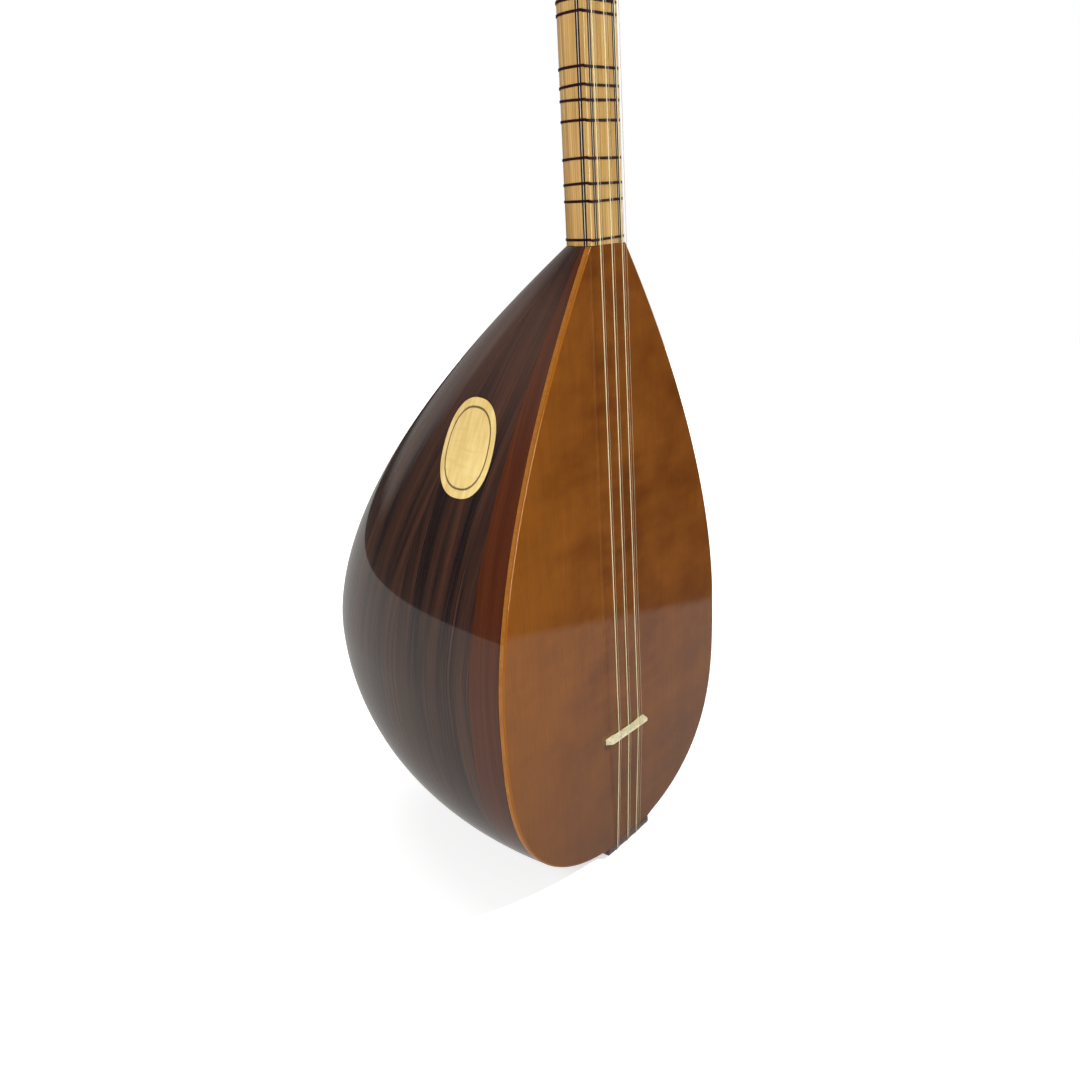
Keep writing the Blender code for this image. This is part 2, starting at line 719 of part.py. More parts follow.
def make_head():
    """Solid head, blended from the neck's section into a squarer one that leans back."""
    foot = mirrored(half_section(neck_half_width(NECK_END_Z) - GAP, NECK_DEPTH - HEAD_DROP, HEAD_CORNER))
    rings = [[Vector((x, y + HEAD_DROP, HEAD_START_Z)) for x, y in foot]]
    for z, power in ((HEAD_BLEND, HEAD_FOOT_POWER), (HEAD_LENGTH, HEAD_TOP_POWER)):
        section = mirrored(half_section(head_half_width(z), head_depth(z), HEAD_CORNER, power))
        rings.append([head_point(x, y, z) for x, y in section])
    deep = head_depth(HEAD_LENGTH)
    for share, shrink in HEAD_CROWN_STEPS:
        z = HEAD_LENGTH + HEAD_CROWN * share
        half = HEAD_TOP_HALF_WIDTH * shrink
        section = mirrored(half_section(half, deep * shrink, HEAD_CORNER * shrink, HEAD_TOP_POWER))
        rings.append([head_point(x, y + deep * (1 - shrink) / 2, z) for x, y in section])
    return add_object("head", loft(rings), "neck_wood")


def peg_radius(distance):
    """Stem radius at a distance out from the head's surface, less inside the head."""
    return PEG_RADIUS + PEG_TAPER * distance


def round_ring(half_x, half_y, z, sides=PEG_SIDES):
    ring = []
    for i in range(sides):
        angle = 2 * math.pi * (i + 0.5) / sides
        ring.append(Vector((half_x * math.cos(angle), half_y * math.sin(angle), z)))
    return ring


def make_peg(name, origin, axes, through, head, spin):
    """T-shaped friction peg. Its own +Z runs out along its axis, from the head's surface."""
    tip = PEG_TIP_RECESS - through
    rings = [round_ring(peg_radius(tip), peg_radius(tip), tip)]
    rings.append(round_ring(peg_radius(PEG_EXPOSED), peg_radius(PEG_EXPOSED), PEG_EXPOSED))
    for half_x, half_y, past in PEG_GRIP:
        rings.append(round_ring(half_x, half_y, PEG_EXPOSED + past))
    turned = axes @ Matrix.Rotation(spin, 3, "Z")
    peg = add_object(name, loft(rings), "peg_wood", origin=origin, axes=turned)
    hole = []
    for distance in (-through - HOLE_OVERRUN, HOLE_OVERRUN):
        radius = peg_radius(distance) + GAP
        hole.append(round_ring(radius, radius, distance, HOLE_SIDES))
    cutter = hide_cutter(add_object(name + "_hole", loft(hole), "peg_wood", origin=origin, axes=axes))
    cut(head, cutter)
    return peg


def make_pegs(head):
    """Three pegs enter the bass side of the head and four its front."""
    front_axes = HEAD_AXES @ Matrix.Rotation(math.pi / 2, 3, "X")
    side_axes = HEAD_AXES @ Matrix.Rotation(-math.pi / 2, 3, "Y")
    for i, z in enumerate(SIDE_PEG_Z):
        half = head_half_width(z)
        origin = head_point(-half, SIDE_PEG_DEPTH, z)
        spin = PEG_REST_TURN * (i + 0.5)
        make_peg("peg_%d" % (i + 1), origin, side_axes, 2 * half, head, spin)
    for i, z in enumerate(FRONT_PEG_Z):
        origin = head_point(0, 0, z)
        spin = PEG_REST_TURN * (i - 0.4)
        make_peg("peg_%d" % (i + 1 + SIDE_PEGS), origin, front_axes, head_depth(z), head, spin)


def string_radius(k):
    return WOUND_RADIUS if k in WOUND_STRINGS else PLAIN_RADIUS


def nut_x(k):
    """Two pairs and a triple. The outer courses stay off the nut's ends, and the middle pair is centred."""
    edge = NECK_NUT_HALF_WIDTH - STRING_FROM_NUT_EDGE
    pair = STRING_PAIR_AT_NUT
    places = (-edge, pair - edge, -pair / 2, pair / 2, edge - 2 * pair, edge - pair, edge)
    return places[k]


def turn_radius(k):
    """Radius of the winding's corners, so that its straight facets clear the peg's stem."""
    return (peg_radius(COIL_START) + GAP / 2 + string_radius(k)) / math.cos(math.pi / TURN_POINTS)


def bend_radius(radius):
    """Radius of a quarter bend's corners, so that its straight facets stay outside the radius given."""
    return radius / math.cos(math.pi / 4 / BEND_STEPS)


def coil_pitch(k):
    return 2 * string_radius(k) + TURN_SPACING


def tail_route(k):
    """From the hole under the tailpiece, round its rounded front corner."""
    clear = GAP + string_radius(k)
    bottom = TAIL_CUT_Z - GAP - TAILPIECE_HEIGHT
    bend_y = -TAILPIECE_PROUD + TAILPIECE_ROUNDING
    bend_z = bottom + TAILPIECE_ROUNDING
    bend = bend_radius(TAILPIECE_ROUNDING + clear)
    x = hole_x(k)
    tail_x = STRING_TAIL_X[k]
    points = [
        Vector((x, STRING_HOLE_Y, bottom + STRING_IN_HOLE)),
        Vector((x, STRING_HOLE_Y, bottom - clear / 3)),
        Vector((x, STRING_HOLE_Y - clear, bottom - clear)),
    ]
    for i in range(BEND_STEPS + 1):
        angle = math.pi / 2 * i / BEND_STEPS
        y = bend_y - bend * math.sin(angle)
        z = bend_z - bend * math.cos(angle)
        points.append(Vector((tail_x, y, z)))
    points.append(Vector((tail_x, bend_y - bend, TAIL_CUT_Z)))
    return points


def front_peg_route(k, index):
    """From the nut to a front peg, passing its treble side, then round its stem towards the head."""
    z = FRONT_PEG_Z[index]
    turn = turn_radius(k)
    points = []
    for i in range(TURN_STEPS + 1):
        angle = 2 * math.pi * i / TURN_POINTS
        out = COIL_START - coil_pitch(k) * i / TURN_POINTS
        points.append(head_point(turn * math.cos(angle), -out, z + turn * math.sin(angle)))
    return points


def side_peg_route(k, index):
    """From the nut over the rounded edge of the head to a side peg, then round its stem towards the head."""
    clear = string_radius(k) + GAP
    z_end = SIDE_PEG_Z[index]
    half = head_half_width(z_end)
    turn = turn_radius(k)
    end_x = -half - COIL_START
    end_y = SIDE_PEG_DEPTH - turn
    bend = bend_radius(HEAD_CORNER + clear)
    bend_x = -half + HEAD_CORNER
    flat = max(0.0, nut_x(k) - bend_x)
    arc = bend * math.pi / 2
    last = math.hypot(end_x + half + clear, end_y - HEAD_CORNER)
    total = flat + arc + last
    points = []
    if flat > HEAD_CORNER / 2:
        points.append(head_point(bend_x, HEAD_CORNER - bend, z_end * flat / total))
    for i in range(1, BEND_STEPS + 1):
        share = i / BEND_STEPS
        angle = math.pi / 2 * share
        x = bend_x - bend * math.sin(angle)
        y = HEAD_CORNER - bend * math.cos(angle)
        points.append(head_point(x, y, z_end * (flat + arc * share) / total))
    for i in range(TURN_STEPS + 1):
        angle = 2 * math.pi * i / TURN_POINTS
        out = COIL_START - coil_pitch(k) * i / TURN_POINTS
        y = SIDE_PEG_DEPTH - turn * math.cos(angle)
        z = z_end + turn * math.sin(angle)
        points.append(head_point(-half - out, y, z))
    return points


def string_route(k):
    points = tail_route(k)
    rise = STRING_AT_BRIDGE - WOUND_RADIUS + string_radius(k)
    at_nut = STRING_AT_NUT - WOUND_RADIUS + string_radius(k)
    points.append(Vector((STRING_BRIDGE_X[k], -rise, BRIDGE_Z)))
    points.append(Vector((nut_x(k), -at_nut, NUT_Z)))
    points.append(Vector((nut_x(k), -at_nut, NECK_END_Z)))
    if k < SIDE_PEGS:
        return points + side_peg_route(k, k)
    return points + front_peg_route(k, k - SIDE_PEGS)


def least_coil_gap(points, radius):
    """Least gap between points of one string that are more than half a turn apart along its winding."""
    coil = points[-TURN_STEPS - 1:]
    least = 1.0
    for i, a in enumerate(coil):
        for b in coil[i + TURN_POINTS // 2 + 1:]:
            least = min(least, (a - b).length - 2 * radius)
    return least


def make_string(k):
    points = string_route(k)
    curve = bpy.data.curves.new("string_%d" % (k + 1), "CURVE")
    curve.dimensions = "3D"
    curve.bevel_depth = string_radius(k)
    curve.bevel_resolution = 1
    curve.use_fill_caps = True
    spline = curve.splines.new("POLY")
    spline.points.add(len(points) - 1)
    for target, point in zip(spline.points, points):
        target.co = (*point, 1.0)
    curve.materials.append(material("wound_string" if k in WOUND_STRINGS else "plain_string"))
    obj = bpy.data.objects.new("string_%d" % (k + 1), curve)
    bpy.context.scene.collection.objects.link(obj)
    least = least_coil_gap(points, string_radius(k))
    print("string_%d least gap between turns: %.2f mm" % (k + 1, 1000 * least))
    return obj


def main():
    clear_scene()
    staves, seams = make_bowl()
    make_soundboard()
    make_blocks()
    make_oval(staves, seams)
    make_sound_hole(staves[STAVE_COUNT // 2])
    make_neck()
    make_fingerboard()
    make_veneer()
    make_nut()
    for number, cents in enumerate(FRET_CENTS, 1):
        make_fret(number, cents)
    make_bridge()
    make_tailpiece()
    head = make_head()
    make_pegs(head)
    for k in range(len(STRING_BRIDGE_X)):
        make_string(k)


main()
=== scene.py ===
"""Looks of the long-neck baglama, in metres.

+Z runs up the neck, the soundboard faces -Y and +X is the treble side.
"""

import bisect
import math
import random

import bmesh
import bpy
from mathutils import Matrix, Vector


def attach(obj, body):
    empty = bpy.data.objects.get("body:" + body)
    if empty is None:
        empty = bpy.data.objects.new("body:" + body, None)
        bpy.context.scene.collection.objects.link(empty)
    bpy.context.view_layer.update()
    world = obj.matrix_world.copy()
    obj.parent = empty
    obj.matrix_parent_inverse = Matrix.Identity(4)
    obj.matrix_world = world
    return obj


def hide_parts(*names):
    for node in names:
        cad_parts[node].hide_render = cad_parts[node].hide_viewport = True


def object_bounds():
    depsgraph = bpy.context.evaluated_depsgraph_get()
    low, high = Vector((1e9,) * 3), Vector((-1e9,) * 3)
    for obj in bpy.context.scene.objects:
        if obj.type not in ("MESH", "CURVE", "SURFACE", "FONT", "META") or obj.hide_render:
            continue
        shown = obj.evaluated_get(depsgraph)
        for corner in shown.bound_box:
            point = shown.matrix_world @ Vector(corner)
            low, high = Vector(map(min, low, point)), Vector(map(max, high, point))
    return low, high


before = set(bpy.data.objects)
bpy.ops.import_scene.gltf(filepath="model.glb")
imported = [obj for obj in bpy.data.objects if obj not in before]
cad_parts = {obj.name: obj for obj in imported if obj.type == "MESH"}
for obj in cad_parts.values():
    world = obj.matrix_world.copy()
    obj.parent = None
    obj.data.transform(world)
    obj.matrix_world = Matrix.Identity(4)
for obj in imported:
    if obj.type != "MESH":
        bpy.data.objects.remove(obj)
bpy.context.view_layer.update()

IMAGE_SIZE = 1080
ROOT_BODY = "instrument"
FULL_TURN = 2 * math.pi
QUARTER_TURN = math.pi / 2

# Camera
CAMERA_PLACE = Vector((-0.56348, -0.37374, 0.44593))
CAMERA_AZIMUTH = math.radians(52.10)
CAMERA_ELEVATION = math.radians(18.08)
CAMERA_ROLL = math.radians(-3.276)
CAMERA_CLIP = 0.01
FOCAL_PIXELS = 1086.2
SENSOR = 36.0

# Clearances of the fitted pieces, and of the frame's own solids
FIT = 0.00003
GAP = 0.0003

# Body and bowl curves: widest, its height, size at the joint, tail power, tail root, taper power
BODY_LENGTH = 0.410
WIDEST_Z = 0.1464
BODY_CURVE = (0.1275, WIDEST_Z, 0.0190, 3.35, 2.074, 1.713)
BOWL_CURVE = (0.2356, 0.1469, 0.0272, 2.1, 2.1, 1.67)
BOWL_WALL = 0.003
TAIL_CUT_Z = 0.0016
BOARD_THICKNESS = 0.00375
BOARD_ROUNDING = 0.0010
BOARD_ROUNDING_RUN = 0.006
BOARD_FACE_MARGIN = 0.0008
STAVE_COUNT = 9
EDGE_STAVE_WIDTH = 0.024
SEAM_GAP = 0.0001
SOUND_HOLE_Z = 0.018
SOUND_HOLE_RADIUS = 0.009

# Oval inlay, as seen square from the bass side
OVAL_Y = 0.0540
OVAL_Z = BODY_LENGTH - 0.1130
OVAL_HALF_Y = 0.0237
OVAL_HALF_Z = 0.0287
OVAL_THICKNESS = 0.0010
OVAL_POWER = 2.35
OVAL_MARGIN = 0.00012

# Neck
NECK_LENGTH = 0.5785
NECK_HALF_WIDTH = 0.0177
NECK_NUT_HALF_WIDTH = 0.0161
NECK_DEPTH = 0.0282
NECK_SHOULDER = 0.0018
VENEER_FRONT = 0.00323
VENEER_BACK = 0.00607
FILET_FROM_EDGE = 0.0050
FILET_HALF_WIDTH = 0.0014
FILET_THICKNESS = 0.0008
NUT_LENGTH = 0.0042
NUT_TOP = 0.0022
NUT_ROUNDING = 0.0007
# Length and drop of the nut's bevels
NUT_LOW_BEVEL = (0.0003, 0.0002)
NUT_HIGH_BEVEL = (0.0006, 0.0005)

# Tied frets: cents above the open string, and the shape of the wound cord
FRET_CENTS = (
    99, 151, 204, 303, 355, 408, 498, 597, 702, 801, 853, 906, 996, 1095,
    1175, 1200, 1312, 1352, 1385, 1432, 1525, 1591, 1638, 1749,
)
LAST_FRET_ABOVE_JOINT = 0.0036
FRET_FROM_NECK = 0.00029
FRET_WINDINGS = 3
FRET_CORD_RADIUS = 0.00026
FRET_WINDING_PITCH = 0.00050
FRET_TILT = 0.018
FRET_SIDE_TILT = 0.03
# The knot lies on the bass shoulder. Its stretch is along the cord, up the neck and outward
KNOT_SHOULDER_Y = 0.004
KNOT_Y = 0.0006
KNOT_OUT = 0.0005
KNOT_SIZE = 0.00027
KNOT_STRAND = 0.00027
KNOT_STRETCH = (1.7, 0.7, 0.6)

# Bridge and tailpiece
BRIDGE_TOP = 0.0050
BRIDGE_HALF_LENGTH = 0.0238
BRIDGE_TOP_HALF_LENGTH = 0.0216
BRIDGE_BASE_THICKNESS = 0.0042
BRIDGE_TOP_THICKNESS = 0.0019
BRIDGE_FOOT = 0.0080
BRIDGE_ARCH = 0.0006
BRIDGE_ARCH_POWER = 6
BRIDGE_SLANT = math.radians(2.0)
BRIDGE_LIFT = 0.00005
BRIDGE_STRING_HEIGHT = 0.0047
BRIDGE_SHOULDER = (0.0012, 0.0009)
BRIDGE_TOE = (0.0004, 0.0011)
BRIDGE_TOE_HEIGHT = 0.0006
# Share of the half thickness, and bevel there
BRIDGE_LAYERS = ((-1.0, 0.00025), (-0.88, 0.0), (0.88, 0.0), (1.0, 0.00025))
SLOT_OPENING = 1.25
SLOT_ROUND = 1.08
TAILPIECE_HEIGHT = 0.0056
TAILPIECE_PROUD = 0.0005
TAILPIECE_ROUNDING = 0.0028
TAILPIECE_BEVEL = 0.0002
STRING_HOLE_RADIUS = 0.0011
STRING_HOLE_Y = 0.0100
STRING_HOLE_DEPTH = 0.0042
HOLE_ROW_INSET = 0.0095
STRING_IN_HOLE = 0.0030

# Strings, bass side first
WOUND_RADIUS = 0.00028
PLAIN_RADIUS = 0.00014
STRING_TAIL_X = (-0.0151, -0.0131, -0.0018, 0.0008, 0.0092, 0.0117, 0.0146)
STRING_BRIDGE_X = (-0.0146, -0.0120, -0.0026, 0.0004, 0.0097, 0.0122, 0.0148)
STRING_FROM_NUT_EDGE = 0.0026
STRING_PAIR_AT_NUT = 0.0024
STRING_OVER_BOARD = 0.0012
STRINGS = range(len(STRING_TAIL_X))
WOUND_STRINGS = (0, 2, 4)
PEG_TURNS = 2.5
TURN_SPACING = 0.0005

# Head and pegs, in the head's own frame: x across, y into the head, z up the head
HEAD_TILT = math.radians(10.0)
HEAD_DROP = 0.0010
HEAD_LENGTH = 0.172
HEAD_HALF_WIDTH = 0.0156
HEAD_TOP_HALF_WIDTH = 0.0148
HEAD_DEPTH = 0.0265
HEAD_TOP_DEPTH = 0.0230
HEAD_CORNER = 0.0035
HEAD_BLEND = 0.020
HEAD_CROWN = 0.012
HEAD_CROWN_SHRINK = 0.60
HEAD_FOOT_POWER = 4.0
HEAD_TOP_POWER = 5.0
PEG_RADIUS = 0.0042
PEG_TAPER = 0.020
PEG_EXPOSED = 0.0140
PEG_TIP_RECESS = 0.0006
PEG_TIP_BEVEL = 0.0004
PEG_TIP_BEVEL_LENGTH = 0.0005
PEG_HOLE_CLEARANCE = 0.0001
HOLE_OVERRUN = 0.004
# Peg collar, grip and flat end: half-width, half-thickness, distance past the stem (the end: past the grip)
PEG_COLLAR = (
    (0.0059, 0.0059, 0.0004), (0.0064, 0.0064, 0.0009), (0.0064, 0.0064, 0.0026), (0.0059, 0.0059, 0.0031),
)
PEG_GRIP = (
    (0.0046, 0.0046, 0.0040), (0.0090, 0.0046, 0.0068), (0.0145, 0.0046, 0.0110),
    (0.0155, 0.0040, 0.0150), (0.0125, 0.0030, 0.0185), (0.0060, 0.0014, 0.0205),
)
PEG_END = (0.0035, 0.0007, 0.0003)
# Angle from one peg to the next at rest, and where each row starts, in such angles
PEG_REST_TURN = math.radians(48)
SIDE_PEG_START = 0.5
FRONT_PEG_START = -0.4
FRONT_PEG_Z = (0.030, 0.068, 0.106, 0.144)
SIDE_PEG_Z = (0.049, 0.087, 0.125)
SIDE_PEG_DEPTH = 0.0110
COIL_START = 0.0085

# Mesh fineness
STAVE_ROWS = 96
STAVE_COLUMNS = 10
SEAM_SAMPLES = 400
OUTLINE_POINTS = 110
ROUNDING_STEPS = 5
ARC_SAMPLES = 600
OVAL_MESH = (14, 96)
OVAL_CUTTER_MESH = (4, 72)
SHOULDER_POINTS = 8
BACK_POINTS = 18
NECK_ROWS = 14
FRET_POINTS = 96
FRET_CORD_SIDES = 7
KNOT_POINTS = 36
KNOT_SIDES = 6
SLOT_STEPS = 4
BRIDGE_ARCH_STEPS = 12
TAILPIECE_POINTS = 48
TAILPIECE_STEPS = 10
HOLE_SIDES = 24
ROUND_SIDES = 40
HEAD_ROWS = 6
CROWN_STEPS = 8
STEM_STEPS = 3
GRIP_STEPS = 4
TURN_POINTS = 22
BEND_STEPS = 8
WOUND_SIDES = 8
PLAIN_SIDES = 6
FLOOR_SIDES = 96
NUDGE = 1e-5
OUTLINE_NUDGE = 1e-6
ANGLE_TOLERANCE = 1e-6
SKIN_TOLERANCE = 0.002
SKIN_FACING = 0.95
SEED = 11
GRAIN_SEED_STEP = 7.3

# Depth of the fine relief in a finish
RELIEF = 0.00003
THIN_RELIEF = 0.00002
BARE_RELIEF = 0.0001
WOUND_RELIEF = 0.00004

# Soundboard colours
BOARD_DARK = (0.112, 0.029, 0.0016)
BOARD_LIGHT = (0.204, 0.062, 0.0036)
BOARD_RAY = (0.270, 0.086, 0.008)
BOARD_BASS_SIDE = (0.268, 0.084, 0.0017)
BOARD_TREBLE_SIDE = (0.116, 0.033, 0.0017)
BOARD_TAIL = (0.066, 0.020, 0.0018)
BOARD_LINE = (0.075, 0.018, 0.002)
BOARD_FIBRE = (0.066, 0.017, 0.002)
BOARD_LINE_PITCH = 0.00125
BOARD_LINE_WANDER = 0.010
RIM_DARK = (0.255, 0.090, 0.012)
RIM_LIGHT = (0.340, 0.126, 0.022)
# Painted highlight: a golden glint on the rounded rim, standing in for the lamps' reflection there
RIM_PAINTED_GLINT = (0.255, 0.080, 0.002)
# Share of the rounded rim that its edge value spans, from the side to the face
RIM_SPAN = 0.72

# Bowl colours: dark, red and line of each kind of stave, then what both share
BOWL_TONES = ((0.014, 0.008, 0.008), (0.062, 0.025, 0.015), (0.132, 0.058, 0.031))
EDGE_STAVE_TONES = ((0.056, 0.012, 0.004), (0.098, 0.024, 0.007), (0.122, 0.038, 0.012))
BOWL_VEIN = (0.007, 0.004, 0.004)
BOWL_PORE = (0.006, 0.003, 0.003)
# Painted reflection: greyer towards the tail, standing in for the pale haze of the floor in the lacquer
BOWL_TAIL_PAINTED_HAZE = (0.028, 0.019, 0.017)
# Painted reflection: a paler, greyer band below the neck joint, standing in for the lacquer's sheen
BOWL_PAINTED_SHEEN = (0.105, 0.052, 0.038)
MAPLE_DARK = (0.68, 0.47, 0.170)
MAPLE_LIGHT = (0.82, 0.63, 0.26)
MAPLE_CURL = (0.62, 0.39, 0.12)
MAPLE_BURN = (0.050, 0.022, 0.010)
MAPLE_RIM = (0.030, 0.014, 0.008)

# Dark, light and streak of the pale woods
NECK_TONES = ((0.445, 0.256, 0.086), (0.600, 0.374, 0.134), (0.300, 0.152, 0.044))
FINGERBOARD_TONES = ((0.40, 0.235, 0.070), (0.53, 0.335, 0.108), (0.28, 0.140, 0.036))
PALE_WOOD_GLINT = (0.78, 0.58, 0.30)
PALE_WOOD_FLECK = (0.26, 0.13, 0.05)

# Dark and light of the rest
WHITE_VENEER = ((0.40, 0.35, 0.30), (0.56, 0.50, 0.43))
BLACK_VENEER = ((0.006, 0.004, 0.004), (0.016, 0.009, 0.008))
CORD_TONES = ((0.011, 0.003, 0.005), (0.032, 0.007, 0.011))
HORN_TONES = ((0.56, 0.50, 0.30), (0.69, 0.645, 0.435))
HORN_CLOUD = (0.58, 0.47, 0.24)
TAIL_TONES = ((0.030, 0.017, 0.017), (0.085, 0.048, 0.045))
PEG_TONES = ((0.018, 0.009, 0.007), (0.060, 0.026, 0.018))
DARK_WOOD_PORE = (0.008, 0.004, 0.004)
PORES_PER_STREAK = 6.0
BARE_WOOD_TONES = ((0.38, 0.24, 0.12), (0.55, 0.38, 0.21))
# Painted shade in the grooves between the wire's turns, then the wire's own colour
WOUND_GROOVE_SHADE_AND_WIRE = ((0.56, 0.50, 0.28), (0.87, 0.82, 0.50))
WOUND_WORN = (0.60, 0.50, 0.28)
WOUND_PITCH = 0.00026
PLAIN_TONES = ((0.38, 0.29, 0.19), (0.54, 0.43, 0.30))

# Stage
KEY_PLACE = Vector((1.35, -1.75, 1.75))
KEY_SIZE = 0.05
KEY_POWER = 72.0
FILL_PLACE = Vector((-2.3, -0.45, 1.3))
FILL_SIZE = 1.6
FILL_POWER = 58.0
TOP_PLACE = Vector((0.4, 0.9, 2.6))
TOP_SIZE = 1.8
TOP_POWER = 20.0
AIM = Vector((0.0, 0.03, 0.35))
FLOOR_RADIUS = 2.4
FLOOR_DROP = 0.0002
FLOOR_GREY = 0.80
# White added to the floor for the camera, rising with distance from the object
FLOOR_LIFT_START = 0.45
FLOOR_LIFT_END = 1.30
FLOOR_LIFT_NEAR = 0.54
FLOOR_LIFT_FAR = 1.0
WHITE = (1.0, 1.0, 1.0)
AMBIENT = 0.17
GLOSS_FLOOR = 0.44
GLOSS_FLOOR_COLOUR = (1.0, 0.975, 0.93)
GLOSS_DARK = 0.02
GLOSS_ROOM_LOW = 0.03
GLOSS_ROOM_HIGH = 0.12
GLOSS_ROOM_COLOUR = (1.0, 0.92, 0.87)
GLOSS_ROOM_RISE = (0.08, 0.60)
GLOSS_SIDE = 0.30
GLOSS_SIDE_START = (0.0, 0.12)
GLOSS_SIDE_END = (1.15, 1.45)
GLOSS_SIDE_RISE = (-0.02, 0.05)
GLOSS_WINDOW = 17.0
GLOSS_WINDOW_AZIMUTH = (math.radians(-164), math.radians(-149))
GLOSS_WINDOW_HEIGHT = (math.sin(math.radians(-3)), math.sin(math.radians(21)))
GLOSS_SOFTNESS = 0.02
# The floor's far edge in the soundboard's gloss: its direction on the floor and its distance
GLOSS_EDGE = (0.526, -0.850)
GLOSS_EDGE_DISTANCE = 0.376

# Places that follow from the sizes above
RIM_Y = BOARD_THICKNESS + GAP
BODY_TOP_Z = BODY_LENGTH - GAP
NUT_Z = BODY_LENGTH + NECK_LENGTH
NECK_END_Z = NUT_Z + NUT_LENGTH
SCALE_LENGTH = (NECK_LENGTH - LAST_FRET_ABOVE_JOINT) / (1 - 2 ** (-FRET_CENTS[-1] / 1200))
BRIDGE_Z = NUT_Z - SCALE_LENGTH
HEAD_START_Z = NECK_END_Z + GAP
HEAD_AXES = Matrix.Rotation(-HEAD_TILT, 3, "X")
HEAD_ORIGIN = Vector((0, HEAD_DROP, HEAD_START_Z))
TAIL_TOP = TAIL_CUT_Z - GAP
TAIL_BOTTOM = TAIL_TOP - TAILPIECE_HEIGHT

rng = random.Random(SEED)


class Nodes:
    """A node tree, built one value at a time. An input is a value or another node's output."""

    def __init__(self, tree):
        self.tree = tree

    def add(self, kind, inputs=(), **settings):
        node = self.tree.nodes.new(kind)
        for key, value in settings.items():
            setattr(node, key, value)
        for key, value in dict(inputs).items():
            self.feed(node.inputs[key], value)
        return node

    def feed(self, socket, value):
        if isinstance(value, bpy.types.NodeSocket):
            self.tree.links.new(value, socket)
        elif isinstance(value, tuple) and socket.type == "RGBA":
            socket.default_value = (*value, 1.0)
        else:
            socket.default_value = value

    def part(self, vector, axis):
        return self.add("ShaderNodeSeparateXYZ", {0: vector}).outputs[axis]

    def math(self, operation, a, b=0.0):
        return self.add("ShaderNodeMath", {0: a, 1: b}, operation=operation).outputs[0]

    def sum(self, a, b):
        return self.math("ADD", a, b)

    def times(self, a, b):
        return self.math("MULTIPLY", a, b)

    def span(self, value, low, high, to_low=0.0, to_high=1.0):
        """The value mapped from one range to another, held inside it."""
        inputs = {0: value, 1: low, 2: high, 3: to_low, 4: to_high}
        return self.add("ShaderNodeMapRange", inputs).outputs[0]

    def band(self, value, rise, fall):
        """One between two soft edges: from the end of the rise to the start of the fall."""
        return self.times(self.span(value, *rise), self.span(value, *fall, 1.0, 0.0))

    def glow(self, kind, colour, strength):
        return self.add(kind, {"Color": colour, "Strength": strength}).outputs[0]

    def choose(self, share, a, b):
        return self.add("ShaderNodeMixShader", {0: share, 1: a, 2: b}).outputs[0]


class Recipe(Nodes):
    """A material, with the patterns that the finishes share."""

    def __init__(self, name):
        self.material = bpy.data.materials.new(name)
        self.material.use_nodes = True
        super().__init__(self.material.node_tree)
        self.shader = self.tree.nodes["Principled BSDF"]
        self.output = self.tree.nodes["Material Output"]

    def set(self, **values):
        for key, value in values.items():
            self.feed(self.shader.inputs[key.replace("_", " ")], value)

    def place(self):
        return self.add("ShaderNodeTexCoord").outputs["Object"]

    def attribute(self, name, output="Fac"):
        return self.add("ShaderNodeAttribute", attribute_name=name).outputs[output]

    def join(self, x, y, z):
        return self.add("ShaderNodeCombineXYZ", {0: x, 1: y, 2: z}).outputs[0]

    def noise(self, vector, scale=1.0, detail=2.0, roughness=0.5):
        inputs = {"Vector": vector, "Scale": scale, "Detail": detail, "Roughness": roughness}
        return self.add("ShaderNodeTexNoise", inputs).outputs[0]

    def streaks(self, vector, scale, detail=2.0, roughness=0.5):
        """Noise with a scale of its own along each axis."""
        stretched = self.add("ShaderNodeVectorMath", {0: vector, 1: scale}, operation="MULTIPLY")
        return self.noise(stretched.outputs[0], 1.0, detail, roughness)

    def waves(self, value, pitch):
        return self.math("SINE", self.times(value, FULL_TURN / pitch))

    def mix(self, share, a, b):
        return self.add("ShaderNodeMix", {0: share, 6: a, 7: b}, data_type="RGBA").outputs[2]

    def blend(self, value, low, high, tones):
        """From the first tone to the second as the value goes from low to high."""
        return self.mix(self.span(value, low, high), *tones)

    def tint(self, colour, value, low, high, share, tone):
        """Up to the given share of the tone in the colour, as the value goes from low to high."""
        return self.mix(self.times(self.span(value, low, high), share), colour, tone)

    def finish(self, colour, roughness, height, depth=RELIEF, **more):
        """Sets the colour, the roughness and the relief, and gives the material."""
        bump = self.add("ShaderNodeBump", {"Height": height, "Distance": depth, "Strength": 1.0})
        self.set(Base_Color=colour, Roughness=roughness, Normal=bump.outputs[0], **more)
        return self.material

    def lacquer(self, roughness=0.04, strength=1.5, weight=1.0, specular=0.1):
        """Clear gloss coat over the surface."""
        self.set(Coat_Weight=weight, Coat_Roughness=roughness, Coat_IOR=strength, Specular_IOR_Level=specular)


